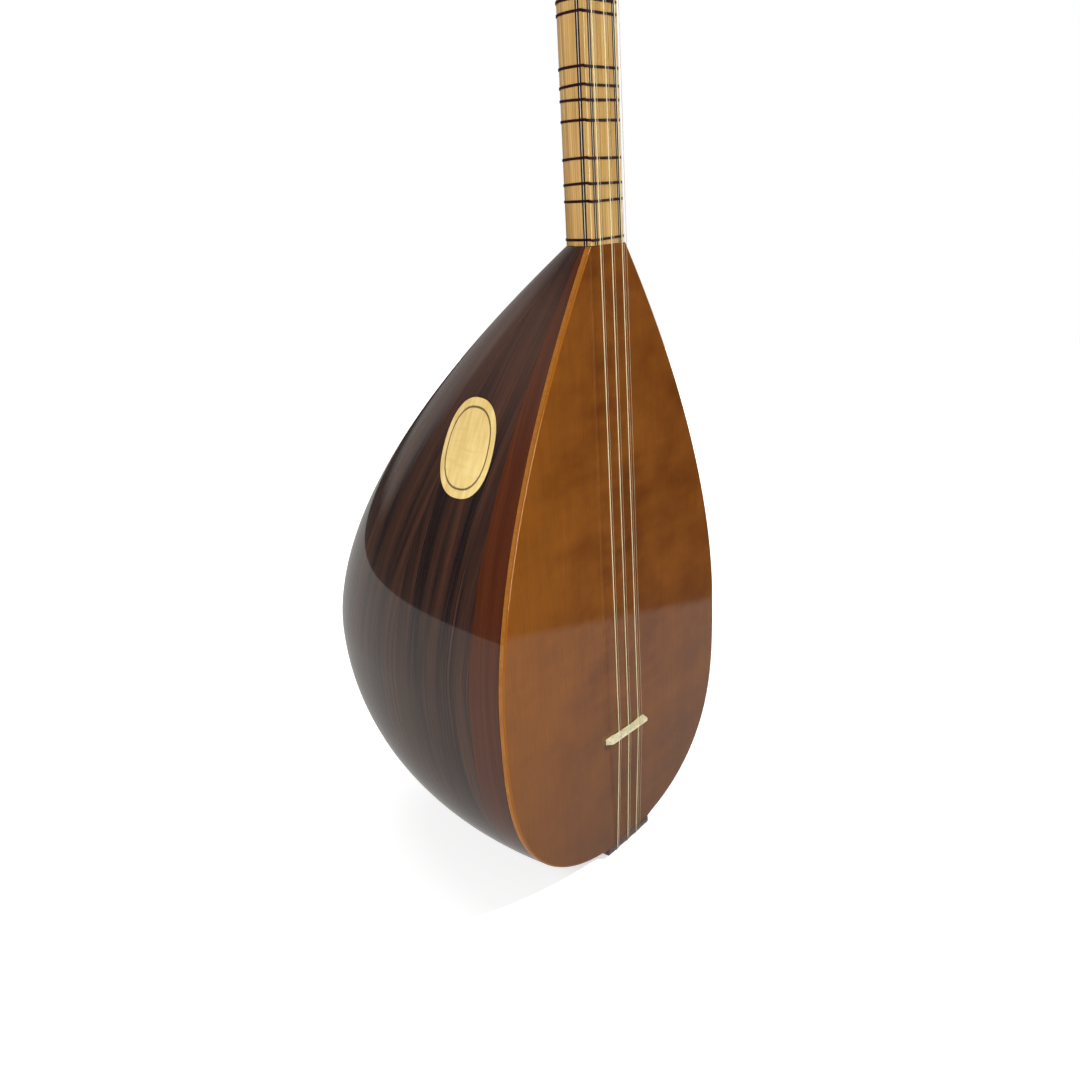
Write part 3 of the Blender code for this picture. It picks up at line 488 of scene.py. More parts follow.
def soundboard_wood():
    """Amber wood: faint growth lines and fibres, soft mottling, deeper towards the treble side and tail, and
    a painted golden highlight along the rounded rim.
    """
    r = Recipe("amber_soundboard")
    place = r.place()
    x = r.part(place, 0)
    warp = r.streaks(place, (24.0, 0.0, 5.0))
    line = r.waves(r.sum(x, r.times(warp, BOARD_LINE_WANDER)), BOARD_LINE_PITCH)
    faint = r.streaks(place, (160.0, 0.0, 7.0))
    line = r.times(r.span(line, 0.1, 1.0), r.span(faint, 0.35, 0.7))
    fibre = r.streaks(place, (2300.0, 200.0, 38.0), 3.0, 0.6)
    blotch = r.streaks(place, (19.0, 30.0, 30.0), 4.0, 0.58)
    ray = r.streaks(place, (42.0, 60.0, 120.0), 2.5)
    colour = r.blend(blotch, 0.34, 0.67, (BOARD_DARK, BOARD_LIGHT))
    colour = r.tint(colour, ray, 0.48, 0.85, 0.28, BOARD_RAY)
    colour = r.tint(colour, x, -0.020, -0.120, 0.60, BOARD_BASS_SIDE)
    colour = r.tint(colour, x, 0.010, 0.115, 0.28, BOARD_TREBLE_SIDE)
    colour = r.tint(colour, r.part(place, 2), 0.190, 0.010, 0.50, BOARD_TAIL)
    colour = r.mix(r.times(line, 0.42), colour, BOARD_LINE)
    colour = r.tint(colour, fibre, 0.46, 0.74, 0.42, BOARD_FIBRE)
    edge = r.attribute("edge")
    side = r.blend(fibre, 0.3, 0.7, (RIM_DARK, RIM_LIGHT))
    colour = r.mix(r.span(edge, 0.85, 1.0), colour, side)
    # Painted highlight: golden glint along the rim's rounding
    painted_glint = r.times(r.span(edge, 0.12, 0.35), r.span(edge, 0.98, 0.80))
    colour = r.mix(painted_glint, colour, RIM_PAINTED_GLINT)
    height = r.sum(r.times(fibre, 0.6), r.times(line, -0.4))
    r.lacquer(0.028, 1.45)
    return r.finish(colour, r.span(blotch, 0.3, 0.7, 0.34, 0.46), height)


def rosewood(name, tones, line_share, vein_share):
    """Streaked wood whose grain follows each stave from the neck to the tail, with a painted greyish haze
    towards the tail and a painted paler sheen band below the neck joint, both standing in for the lacquer's
    reflections.
    """
    r = Recipe(name)
    dark, red, line = tones
    grain = r.attribute("grain", "Vector")
    bend = r.streaks(grain, (26.0, 5.0, 1.0))
    across = r.sum(r.part(grain, 0), r.times(bend, 0.012))
    bent = r.join(across, r.part(grain, 1), r.part(grain, 2))
    wide = r.streaks(bent, (150.0, 3.2, 1.0), 5.0, 0.62)
    vein = r.streaks(bent, (520.0, 5.0, 1.7), 3.0, 0.55)
    thin = r.streaks(bent, (1150.0, 8.0, 2.3))
    pore = r.streaks(bent, (3400.0, 120.0, 3.1))
    colour = r.blend(wide, 0.36, 0.66, (dark, red))
    colour = r.tint(colour, vein, 0.53, 0.68, vein_share, BOWL_VEIN)
    colour = r.tint(colour, thin, 0.60, 0.72, line_share, line)
    colour = r.tint(colour, pore, 0.56, 0.80, 0.45, BOWL_PORE)
    height = r.part(r.place(), 2)
    # Painted reflection: greyish haze mixed in towards the tail
    colour = r.tint(colour, height, 0.22, 0.04, 0.36, BOWL_TAIL_PAINTED_HAZE)
    # Painted sheen: a paler band on the bowl below the neck joint
    shoulder = r.times(r.span(height, 0.29, 0.35), r.span(height, 0.398, 0.375))
    colour = r.mix(r.times(shoulder, 0.35), colour, BOWL_PAINTED_SHEEN)
    r.lacquer(strength=1.61)
    return r.finish(colour, r.span(wide, 0.3, 0.7, 0.30, 0.42), pore)


def maple():
    """Pale oval with a thin burned line inside its edge."""
    r = Recipe("oval_maple")
    place = r.place()
    figure = r.streaks(place, (60.0, 260.0, 30.0), 3.0)
    curl = r.streaks(place, (40.0, 60.0, 380.0))
    colour = r.blend(figure, 0.3, 0.7, (MAPLE_DARK, MAPLE_LIGHT))
    colour = r.tint(colour, curl, 0.5, 0.8, 0.35, MAPLE_CURL)
    share = r.attribute("share")
    wobble = r.sum(share, r.times(r.noise(place, 700.0), 0.012))
    burned = r.times(r.span(wobble, 0.775, 0.793), r.span(wobble, 0.835, 0.817))
    colour = r.mix(r.times(burned, 0.85), colour, MAPLE_BURN)
    colour = r.mix(r.span(share, 0.975, 0.988), colour, MAPLE_RIM)
    r.lacquer()
    return r.finish(colour, 0.32, figure)


def pale_wood(name, tones, fineness, tilt=0.0):
    """Pale wood with streaks along the neck, or along the head when its tilt is given."""
    r = Recipe(name)
    dark, light, streak = tones
    place = r.place()
    if tilt:
        turned = {"Vector": place, "Angle": tilt}
        place = r.add("ShaderNodeVectorRotate", turned, rotation_type="X_AXIS").outputs[0]
    bend = r.streaks(place, (30.0, 30.0, 4.0))
    shift = r.join(r.times(bend, 0.004), 0.0, 0.0)
    bent = r.add("ShaderNodeVectorMath", {0: place, 1: shift}).outputs[0]
    wide = r.streaks(bent, (260.0, 260.0, 5.0), 4.0, 0.6)
    thin = r.streaks(bent, (fineness, fineness, 11.0))
    line = r.streaks(bent, (620.0, 620.0, 3.5))
    fleck = r.streaks(bent, (2400.0, 2400.0, 170.0))
    colour = r.blend(wide, 0.32, 0.68, (dark, light))
    colour = r.tint(colour, thin, 0.48, 0.66, 0.62, streak)
    colour = r.tint(colour, line, 0.60, 0.70, 0.45, streak)
    colour = r.tint(colour, thin, 0.44, 0.30, 0.35, PALE_WOOD_GLINT)
    colour = r.tint(colour, fleck, 0.58, 0.76, 0.35, PALE_WOOD_FLECK)
    r.lacquer(0.05, weight=0.8)
    return r.finish(colour, r.span(wide, 0.3, 0.7, 0.34, 0.46), thin)


def banded(name, share_of):
    """Three-ply line: black, white and black veneer."""
    r = Recipe(name)
    share = share_of(r)
    grain = r.streaks(r.place(), (1500.0, 1500.0, 30.0))
    white = r.blend(grain, 0.3, 0.7, WHITE_VENEER)
    black = r.blend(grain, 0.3, 0.7, BLACK_VENEER)
    middle = r.times(r.span(share, 0.38, 0.40), r.span(share, 0.62, 0.60))
    r.lacquer(0.06, weight=0.7)
    return r.finish(r.mix(middle, black, white), 0.38, grain, THIN_RELIEF)


def veneer_share(r):
    return r.span(r.part(r.place(), 1), VENEER_FRONT, VENEER_BACK)


def filet_share(r):
    return r.attribute("across")


def fret_cord():
    r = Recipe("fret_cord")
    place = r.place()
    fibre = r.streaks(place, (4200.0, 4200.0, 4200.0))
    colour = r.blend(r.noise(place, 260.0), 0.3, 0.7, CORD_TONES)
    return r.finish(colour, 0.50, fibre, Specular_IOR_Level=0.2)


def pale_horn():
    r = Recipe("pale_horn")
    place = r.place()
    streak = r.streaks(place, (260.0, 900.0, 900.0), 3.0)
    cloud = r.noise(place, 240.0)
    colour = r.blend(streak, 0.3, 0.7, HORN_TONES)
    colour = r.tint(colour, cloud, 0.55, 0.8, 0.4, HORN_CLOUD)
    r.lacquer(0.12, weight=0.3, specular=0.5)
    return r.finish(colour, r.span(cloud, 0.3, 0.7, 0.24, 0.36), streak, THIN_RELIEF)


def dark_wood(name, tones, grain_scale, gloss):
    """Dark turned or carved wood with open pores."""
    r = Recipe(name)
    place = r.place()
    streak = r.streaks(place, grain_scale, 4.0, 0.6)
    pore = r.streaks(place, tuple(PORES_PER_STREAK * s for s in grain_scale))
    colour = r.blend(streak, 0.34, 0.68, tones)
    colour = r.tint(colour, pore, 0.58, 0.78, 0.5, DARK_WOOD_PORE)
    r.lacquer(0.08, weight=gloss, specular=0.5)
    return r.finish(colour, r.span(streak, 0.3, 0.7, 0.26, 0.38), pore)


def bare_wood():
    r = Recipe("bare_block_wood")
    streak = r.streaks(r.place(), (500.0, 500.0, 12.0), 4.0)
    return r.finish(r.blend(streak, 0.3, 0.7, BARE_WOOD_TONES), 0.72, streak, BARE_RELIEF)


def wound_metal():
    """String wrapped in fine wire: painted shade darkens the grooves between the turns into narrow lines, and
    the same waves give the relief.
    """
    r = Recipe("wound_wire")
    along = r.attribute("along")
    winding_relief_and_shade = r.waves(along, WOUND_PITCH)
    wear = r.noise(r.join(along, 0.0, 0.0), 90.0, 3.0)
    # Painted shade in the grooves between the turns
    colour = r.blend(winding_relief_and_shade, -1.0, 0.2, WOUND_GROOVE_SHADE_AND_WIRE)
    colour = r.tint(colour, wear, 0.55, 0.8, 0.3, WOUND_WORN)
    return r.finish(colour, 0.42, winding_relief_and_shade, WOUND_RELIEF, Metallic=0.15)


def plain_metal():
    r = Recipe("plain_wire")
    wear = r.noise(r.join(r.attribute("along"), 0.0, 0.0), 60.0, 3.0)
    colour = r.blend(wear, 0.3, 0.7, PLAIN_TONES)
    r.set(Base_Color=colour, Metallic=0.30, Roughness=r.span(wear, 0.3, 0.7, 0.26, 0.38))
    return r.material


FINISH = {
    "board": soundboard_wood(),
    "bowl": rosewood("bowl_rosewood", BOWL_TONES, 0.55, 0.55),
    "edge_stave": rosewood("edge_rosewood", EDGE_STAVE_TONES, 0.25, 0.35),
    "oval": maple(),
    "neck": pale_wood("neck_wood", NECK_TONES, 1000.0),
    "head": pale_wood("head_wood", NECK_TONES, 1000.0, HEAD_TILT),
    "fingerboard": pale_wood("fingerboard_wood", FINGERBOARD_TONES, 1100.0),
    "veneer": banded("veneer_line", veneer_share),
    "filet": banded("filet_line", filet_share),
    "fret": fret_cord(),
    "horn": pale_horn(),
    "tail": dark_wood("tail_wood", TAIL_TONES, (420.0, 60.0, 420.0), 0.6),
    "peg": dark_wood("peg_wood", PEG_TONES, (300.0, 300.0, 300.0), 0.5),
    "block": bare_wood(),
    "wound": wound_metal(),
    "plain": plain_metal(),
}


def steps_between(low, high, count):
    return [low + (high - low) * i / count for i in range(count + 1)]


def round_turn(count):
    """Even angles round a full turn."""
    return [FULL_TURN * i / count for i in range(count)]


def circle(x, y, z, radius, sides):
    """Level circle of points."""
    return [(x + radius * math.cos(a), y + radius * math.sin(a), z) for a in round_turn(sides)]


def running_lengths(points):
    """Distance along the line of points, at each point."""
    lengths = [0.0]
    for a, b in zip(points, points[1:]):
        lengths.append(lengths[-1] + (b - a).length)
    return lengths


def interpolate(value, keys, values):
    """Straight-line look-up in a rising list of keys."""
    high = min(max(bisect.bisect_right(keys, value), 1), len(keys) - 1)
    low = high - 1
    share = (value - keys[low]) / (keys[high] - keys[low])
    share = min(max(share, 0.0), 1.0)
    return values[low] + (values[high] - values[low]) * share


def skin(rings, capped=True):
    """Points and faces of a skin over closed rings that have the same number of points."""
    count = len(rings[0])
    points = [tuple(point) for ring in rings for point in ring]
    faces = []
    for row in range(len(rings) - 1):
        low = row * count
        high = low + count
        for i in range(count):
            j = (i + 1) % count
            faces.append((low + i, low + j, high + j, high + i))
    if capped:
        faces.append(tuple(reversed(range(count))))
        faces.append(tuple(range(len(points) - count, len(points))))
    return points, faces


def joined(parts):
    """One set of points and faces from several."""
    points = []
    faces = []
    for more_points, more_faces in parts:
        start = len(points)
        points += more_points
        faces += [tuple(start + i for i in face) for face in more_faces]
    return points, faces


def frames_along(points, closed=False):
    """Two directions across the line at each point, carried along it without twisting."""
    frames = []
    count = len(points)
    first = None
    for i in range(count):
        before = points[i - 1] if closed or i else points[i]
        after = points[(i + 1) % count] if closed or i < count - 1 else points[i]
        along = (after - before).normalized()
        if first is None:
            first = along.orthogonal().normalized()
        first = (first - along * first.dot(along)).normalized()
        frames.append((first, along.cross(first)))
    return frames


def tube(centres, frames, radius, sides, closed=False):
    """Points and faces of a tube round a line of points; each frame is two directions across it."""
    rings = []
    for centre, (first, second) in zip(centres, frames):
        ring = []
        for angle in round_turn(sides):
            ring.append(centre + (first * math.cos(angle) + second * math.sin(angle)) * radius)
        rings.append(ring)
    points, faces = skin(rings, capped=not closed)
    if closed:
        last = (len(rings) - 1) * sides
        for i in range(sides):
            j = (i + 1) % sides
            faces.append((last + i, last + j, j, i))
    return points, faces


def add_object(name, data):
    obj = bpy.data.objects.new(name, data)
    bpy.context.scene.collection.objects.link(obj)
    return obj


def make_object(name, shape, finish, sharp=35.0):
    """An object from points and faces, smooth up to the sharp angle."""
    points, faces = shape
    mesh = bpy.data.meshes.new(name)
    mesh.from_pydata(points, [], faces)
    bm = bmesh.new()
    bm.from_mesh(mesh)
    bmesh.ops.recalc_face_normals(bm, faces=bm.faces)
    bm.to_mesh(mesh)
    bm.free()
    mesh.shade_smooth()
    mesh.set_sharp_from_angle(angle=math.radians(sharp))
    mesh.materials.append(finish)
    return add_object(name, mesh)


def belongs(obj, node, body=ROOT_BODY):
    """The piece stands for one CAD node, whose part it hides, and rides with its body."""
    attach(obj, body)
    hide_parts(node)


def carve(obj, cutters):
    """Cuts the cutters out of a piece for good, and removes them."""
    for cutter in cutters:
        modifier = obj.modifiers.new("cut", "BOOLEAN")
        modifier.operation = "DIFFERENCE"
        modifier.solver = "EXACT"
        modifier.object = cutter
    graph = bpy.context.evaluated_depsgraph_get()
    mesh = bpy.data.meshes.new_from_object(obj.evaluated_get(graph), depsgraph=graph)
    obj.modifiers.clear()
    obj.data = mesh
    for cutter in cutters:
        bpy.data.objects.remove(cutter, do_unlink=True)


def write_attribute(obj, name, values, kind="FLOAT"):
    layer = obj.data.attributes.new(name, kind, "POINT")
    if kind == "FLOAT":
        layer.data.foreach_set("value", values)
    else:
        layer.data.foreach_set("vector", [part for value in values for part in value])


def swell(z, widest, widest_z, at_joint, tail_power, tail_root, taper_power):
    """Half-width or depth at height z: a blunt round tail, then a taper up to the neck joint."""
    if z < widest_z:
        t = (widest_z - z) / widest_z
        return widest * (1 - t**tail_power) ** (1 / tail_root)
    s = (z - widest_z) / (BODY_LENGTH - widest_z)
    return at_joint + (widest - at_joint) * (1 - s**taper_power)


def body_half_width(z):
    return swell(z, *BODY_CURVE)


def bowl_depth(z):
    return swell(z, *BOWL_CURVE)


def depth_share(y, z):
    """How far y lies between the rim and the back of the bowl at height z."""
    return (y - RIM_Y) / (bowl_depth(z) - RIM_Y)


def bowl_surface(angle, z):
    """Outer surface of the bowl: angle 0 is the treble rim, pi the bass rim."""
    deep = bowl_depth(z) - RIM_Y
    return Vector((body_half_width(z) * math.cos(angle), RIM_Y + deep * math.sin(angle), z))


def bowl_excess(point):
    """Zero on the bowl's outer surface, negative inside it."""
    z = min(max(point.z, TAIL_CUT_Z / 2), BODY_LENGTH)
    return (point.x / body_half_width(z)) ** 2 + depth_share(point.y, z) ** 2 - 1


def bowl_normal(point):
    parts = []
    for axis in Matrix.Identity(3):
        parts.append(bowl_excess(point + axis * NUDGE) - bowl_excess(point - axis * NUDGE))
    return Vector(parts).normalized()


def bowl_point(angle, z, inset=0.0):
    """A point the given distance inside the bowl's outer surface, square to it."""
    point = bowl_surface(angle, z)
    if inset == 0.0:
        return point
    along = bowl_surface(angle, min(z + NUDGE, BODY_LENGTH)) - bowl_surface(angle, z - NUDGE)
    around = bowl_surface(angle + NUDGE, z) - bowl_surface(angle - NUDGE, z)
    return point - around.cross(along).normalized() * inset


def crowded_heights(count):
    """Heights from the tail cut to the neck joint, close together at the tail."""
    rise = BODY_TOP_Z - TAIL_CUT_Z
    return [BODY_TOP_Z - rise * math.cos(math.pi / 2 * i / count) for i in range(count)] + [BODY_TOP_Z]


LEVELS = crowded_heights(ARC_SAMPLES)
LEVEL_LENGTHS = [0.0]
for low_level, high_level in zip(LEVELS, LEVELS[1:]):
    level_step = math.hypot(bowl_depth(high_level) - bowl_depth(low_level), high_level - low_level)
    LEVEL_LENGTHS.append(LEVEL_LENGTHS[-1] + level_step)


def body_heights(rows):
    """Heights at even steps along the back of the bowl, from the tail cut to the neck joint."""
    total = LEVEL_LENGTHS[-1]
    return [interpolate(total * i / rows, LEVEL_LENGTHS, LEVELS) for i in range(rows + 1)]


def stave_seams():
    """Seam angles from the bass rim to the treble rim: a narrow stave at each rim, the rest equal."""
    steps = SEAM_SAMPLES
    lengths = running_lengths([bowl_surface(math.pi * i / steps, WIDEST_Z) for i in range(steps + 1)])
    wide = (lengths[-1] - 2 * EDGE_STAVE_WIDTH) / (STAVE_COUNT - 2)
    targets = [0.0] + [EDGE_STAVE_WIDTH + wide * i for i in range(STAVE_COUNT - 1)] + [lengths[-1]]
    seams = []
    for target in targets:
        k = min(range(steps + 1), key=lambda i: abs(lengths[i] - target))
        seams.append(math.pi - math.pi * k / steps)
    return seams


def around_per_angle(angle, z):
    """Distance round the bowl for one radian, at this place."""
    across = body_half_width(z) * math.sin(angle)
    deep = (bowl_depth(z) - RIM_Y) * math.cos(angle)
    return math.hypot(across, deep)


def make_stave(name, start, end, finish):
    at_bass_rim = abs(start - math.pi) < ANGLE_TOLERANCE
    at_treble_rim = abs(end) < ANGLE_TOLERANCE
    rings = []
    for z in body_heights(STAVE_ROWS):
        first = start if at_bass_rim else start - SEAM_GAP / 2 / around_per_angle(start, z)
        last = end if at_treble_rim else end + SEAM_GAP / 2 / around_per_angle(end, z)
        angles = steps_between(first, last, STAVE_COLUMNS)
        outer = [bowl_point(a, z) for a in angles]
        inner = [bowl_point(a, z, BOWL_WALL) for a in reversed(angles)]
        rings.append(outer + inner)
    for point in rings[-1]:
        point.z = BODY_TOP_Z
    return make_object(name, skin(rings), finish)


def write_grain(obj, start, end, seed):
    """Distance across and along the stave for every point, from its place on the bowl."""
    middle = (start + end) / 2
    values = []
    for vertex in obj.data.vertices:
        point = vertex.co
        z = min(max(point.z, TAIL_CUT_Z), BODY_TOP_Z)
        angle = math.atan2(depth_share(point.y, z), point.x / body_half_width(z))
        side = (angle - middle) * around_per_angle(middle, z)
        values.append((side, interpolate(z, LEVELS, LEVEL_LENGTHS), seed))
    write_attribute(obj, "grain", values, "FLOAT_VECTOR")


def polish_bowl(obj):
    """Gives the outer faces the true surface's normals, so that reflections run smoothly over the seams."""
    mesh = obj.data
    on_skin = {}
    for vertex in mesh.vertices:
        if abs(bowl_excess(vertex.co)) < SKIN_TOLERANCE:
            on_skin[vertex.index] = bowl_normal(vertex.co)
    normals = []
    for polygon in mesh.polygons:
        flat = polygon.normal.copy()
        for index in polygon.vertices:
            curved = on_skin.get(index)
            outside = curved is not None and curved.dot(flat) > SKIN_FACING
            normals.append(curved if outside else flat)
    mesh.normals_split_custom_set(normals)


def squared_off(part):
    """Takes a circle's cosine or sine to that of a slightly squarer oval."""
    return math.copysign(abs(part) ** (2 / OVAL_POWER), part)


def oval_lens(near, far, grow, ring_count, spokes):
    """Points, faces and shares of a closed oval lens that follows the bass side of the bowl."""
    points = []
    faces = []
    shares = []
    rims = []
    for depth in (near, far):
        centre = len(points)
        for k in range(ring_count + 1):
            share = k / ring_count
            for i in range(spokes if k else 1):
                angle = FULL_TURN * i / spokes
                y = OVAL_Y + share * (OVAL_HALF_Y + grow) * squared_off(math.cos(angle))
                z = OVAL_Z + share * (OVAL_HALF_Z + grow) * squared_off(math.sin(angle))
                x = -body_half_width(z) * math.sqrt(1 - depth_share(y, z) ** 2)
                points.append((x + depth, y, z))
                shares.append(share)
        first = centre + 1
        for i in range(spokes):
            j = (i + 1) % spokes
            faces.append((centre, first + i, first + j))
            for k in range(ring_count - 1):
                low = first + k * spokes
                faces.append((low + i, low + spokes + i, low + spokes + j, low + j))
        rims.append(first + (ring_count - 1) * spokes)
    for i in range(spokes):
        j = (i + 1) % spokes
        faces.append((rims[0] + i, rims[1] + i, rims[1] + j, rims[0] + j))
    return points, faces, shares


def oval_cutter():
    points, faces, _ = oval_lens(-BOWL_WALL, OVAL_THICKNESS + OVAL_MARGIN, OVAL_MARGIN, *OVAL_CUTTER_MESH)
    return make_object("oval_cutter", (points, faces), None)


def sound_hole_cutter():
    centre = bowl_point(QUARTER_TURN, SOUND_HOLE_Z)
    axis = (centre - bowl_point(QUARTER_TURN, SOUND_HOLE_Z, BOWL_WALL)).normalized()
    sideways = Vector((1, 0, 0))
    ends = [centre + axis * distance for distance in (-4 * BOWL_WALL, 4 * BOWL_WALL)]
    frames = [(sideways, axis.cross(sideways))] * 2
    return make_object("sound_hole_cutter", tube(ends, frames, SOUND_HOLE_RADIUS, ROUND_SIDES), None)


def make_bowl():
    seams = stave_seams()
    deep = bowl_depth(OVAL_Z) - RIM_Y
    highest = OVAL_Y + OVAL_HALF_Y + OVAL_MARGIN
    lowest = OVAL_Y - OVAL_HALF_Y - OVAL_MARGIN
    for i in range(STAVE_COUNT):
        start = seams[i]
        end = seams[i + 1]
        at_edge = i in (0, STAVE_COUNT - 1)
        stave = make_stave("stave_%d" % (i + 1), start, end, FINISH["edge_stave" if at_edge else "bowl"])
        front = RIM_Y + deep * math.sin(start)
        back = RIM_Y + deep * math.sin(end)
        if end > QUARTER_TURN and front < highest and back > lowest:
            carve(stave, [oval_cutter()])
        if i == STAVE_COUNT // 2:
            carve(stave, [sound_hole_cutter()])
        write_grain(stave, start, end, GRAIN_SEED_STEP * i)
        polish_bowl(stave)
        belongs(stave, "bowl_stave_%d" % (i + 1))
    points, faces, shares = oval_lens(0.0, OVAL_THICKNESS, 0.0, *OVAL_MESH)
    oval = make_object("oval_of_maple", (points, faces), FINISH["oval"])
    write_attribute(oval, "share", shares)
    polish_bowl(oval)
    belongs(oval, "oval_inlay")


def outline_with_normals():
    """Outline of the body up the treble side, as (x, z, outward x, outward z, rounding)."""
    outline = []
    heights = crowded_heights(OUTLINE_POINTS)
    run = 0.0
    for i, z in enumerate(heights):
        x = body_half_width(z)
        if i:
            run += math.hypot(x - outline[-1][0], z - outline[-1][1])
        rise = body_half_width(z + OUTLINE_NUDGE) - body_half_width(z - OUTLINE_NUDGE)
        slope = rise / (2 * OUTLINE_NUDGE)
        length = math.hypot(1, slope)
        rounding = BOARD_ROUNDING * min(run / BOARD_ROUNDING_RUN, 1.0)
        normal = (1.0, 0.0) if i == len(heights) - 1 else (1 / length, -slope / length)
        outline.append((x, z, *normal, rounding))
    return outline


def make_soundboard():
    """Flat plate whose front edge is rounded, sharper where it meets the tailpiece."""
    outline = outline_with_normals()
    both = outline + [(-x, z, -nx, nz, r) for x, z, nx, nz, r in reversed(outline)]
    arcs = steps_between(0.0, QUARTER_TURN, ROUNDING_STEPS)[1:]
    steps = [(0.0, 0.0, "back"), (0.0, 0.0, "front")] + [(angle, 0.0, "front") for angle in arcs]
    steps.append((QUARTER_TURN, BOARD_FACE_MARGIN, "front"))
    rings = []
    ring_normals = []
    edge_values = []
    for angle, further, kind in steps:
        ring = []
        for x, z, nx, nz, rounding in both:
            inset = rounding * (1 - math.cos(angle)) + further * rounding / BOARD_ROUNDING
            y = BOARD_THICKNESS if kind == "back" else rounding * (1 - math.sin(angle))
            ring.append((x - nx * inset, y, z - nz * inset))
            ring_normals.append(Vector((nx * math.cos(angle), -math.sin(angle), nz * math.cos(angle))))
        rings.append(ring)
        edge_values += [0.0 if further else 1.0 - angle / QUARTER_TURN * RIM_SPAN] * len(both)
    mesh = bpy.data.meshes.new("amber_board")
    points, faces = skin(rings)
    mesh.from_pydata(points, [], faces)
    mesh.materials.append(FINISH["board"])
    board = add_object("amber_board", mesh)
    if mesh.polygons[-1].normal.y > 0:
        mesh.flip_normals()
    mesh.shade_smooth()
    count = len(both)
    half = len(outline)
    normals = []
    for polygon in mesh.polygons:
        columns = {index % count for index in polygon.vertices}
        flat = len(columns) > 2 or columns in ({half - 1, half}, {0, count - 1})
        for index in polygon.vertices:
            normals.append(polygon.normal.copy() if flat else ring_normals[index])
    mesh.normals_split_custom_set(normals)
    write_attribute(board, "edge", edge_values)
    belongs(board, "soundboard")


def half_section(half_width, depth, corner, power=2.0):
    """+X half of the section of the neck or head: flat front, rounded shoulder, curved back."""
    edge = half_width * (1 - (corner / depth) ** power) ** (1 / power)
    profile = []
    for angle in steps_between(0.0, QUARTER_TURN, SHOULDER_POINTS):
        profile.append((edge - corner + corner * math.sin(angle), corner - corner * math.cos(angle)))
    start = math.asin((corner / depth) ** (power / 2))
    for i, angle in enumerate(steps_between(start, QUARTER_TURN, BACK_POINTS)[1:], 1):
        across = max(math.cos(angle), 0.0) ** (2 / power) if i < BACK_POINTS else 0.0
        profile.append((half_width * across, depth * math.sin(angle) ** (2 / power)))
    return profile


def mirrored(profile):
    return profile + [(-x, y) for x, y in reversed(profile) if x > 0]


def x_at(profile, y):
    for (x0, y0), (x1, y1) in zip(profile, profile[1:]):
        if y0 <= y <= y1:
            share = (y - y0) / (y1 - y0)
            return x0 * (1 - share) + x1 * share
    return 0.0


def slice_of(profile, front_y, back_y):
    between = [(x, y) for x, y in profile if front_y < y < back_y]
    return [(x_at(profile, front_y), front_y)] + between + [(x_at(profile, back_y), back_y)]


def neck_half_width(z):
    share = (z - BODY_LENGTH) / NECK_LENGTH
    return NECK_HALF_WIDTH + (NECK_NUT_HALF_WIDTH - NECK_HALF_WIDTH) * share


def neck_section(z):
    return half_section(neck_half_width(z), NECK_DEPTH, NECK_SHOULDER)


def neck_layer(z, front_y, back_y):
    return [(x, y, z) for x, y in mirrored(slice_of(neck_section(z), front_y, back_y))]


def filet_x(z):
    return neck_half_width(z) - FILET_FROM_EDGE


def fingerboard_ring(z):
    """Section of the fingerboard, with a groove for each filet."""
    side = slice_of(neck_section(z), 0.0, VENEER_FRONT - FIT)
    half = FILET_HALF_WIDTH + FIT
    deep = FILET_THICKNESS + FIT
    x = filet_x(z)
    groove = [(x + half, 0.0), (x + half, deep), (x - half, deep), (x - half, 0.0)]
    right = list(reversed(side)) + groove
    left = [(-a, b) for a, b in reversed(right)]
    return [(a, b, z) for a, b in right + left]


def make_neck():
    """Shaft, fingerboard, veneer line and the two filets."""
    rows = steps_between(BODY_LENGTH, NECK_END_Z, NECK_ROWS)
    rings = [neck_layer(z, VENEER_BACK + FIT, NECK_DEPTH) for z in rows]
    belongs(make_object("neck_shaft", skin(rings), FINISH["neck"]), "neck")
    rows = steps_between(BODY_LENGTH, NUT_Z - FIT, NECK_ROWS)
    board = make_object("fingerboard_top", skin([fingerboard_ring(z) for z in rows]), FINISH["fingerboard"])
    belongs(board, "fingerboard")
    rings = [neck_layer(z, VENEER_FRONT, VENEER_BACK) for z in rows]
    belongs(make_object("veneer_line_band", skin(rings), FINISH["veneer"]), "neck_veneer")
    half = FILET_HALF_WIDTH
    corners = ((-half, 0.0), (half, 0.0), (half, FILET_THICKNESS), (-half, FILET_THICKNESS))
    for side, node in ((-1, "bass_filet"), (1, "treble_filet")):
        rings = [[(side * filet_x(z) + dx, y, z) for dx, y in corners] for z in rows]
        filet = make_object(node + "_line", skin(rings), FINISH["filet"])
        write_attribute(filet, "across", [0.0, 1.0, 1.0, 0.0] * len(rings))
        belongs(filet, node)


def string_radius(k):
    return WOUND_RADIUS if k in WOUND_STRINGS else PLAIN_RADIUS


def nut_x(k):
    """Two pairs and a triple. The outer courses stay off the nut's ends, and the middle pair is centred."""
    edge = NECK_NUT_HALF_WIDTH - STRING_FROM_NUT_EDGE
    pair = STRING_PAIR_AT_NUT
    return (-edge, pair - edge, -pair / 2, pair / 2, edge - 2 * pair, edge - pair, edge)[k]


def slotted_top(centres, top, bottom, half):
    """Line along the top of the nut or bridge, with a round-bottomed slot under each string."""
    line = [(-half, top)]
    for k in STRINGS:
        x = centres[k]
        radius = string_radius(k)
        wide = radius * SLOT_OPENING
        line.append((x - wide, top))
        for angle in steps_between(0.0, math.pi, SLOT_STEPS):
            across = radius * SLOT_ROUND * math.cos(angle)
            line.append((x - across, bottom + radius * (1 - math.sin(angle))))
        line.append((x + wide, top))
    line.append((half, top))
    return line


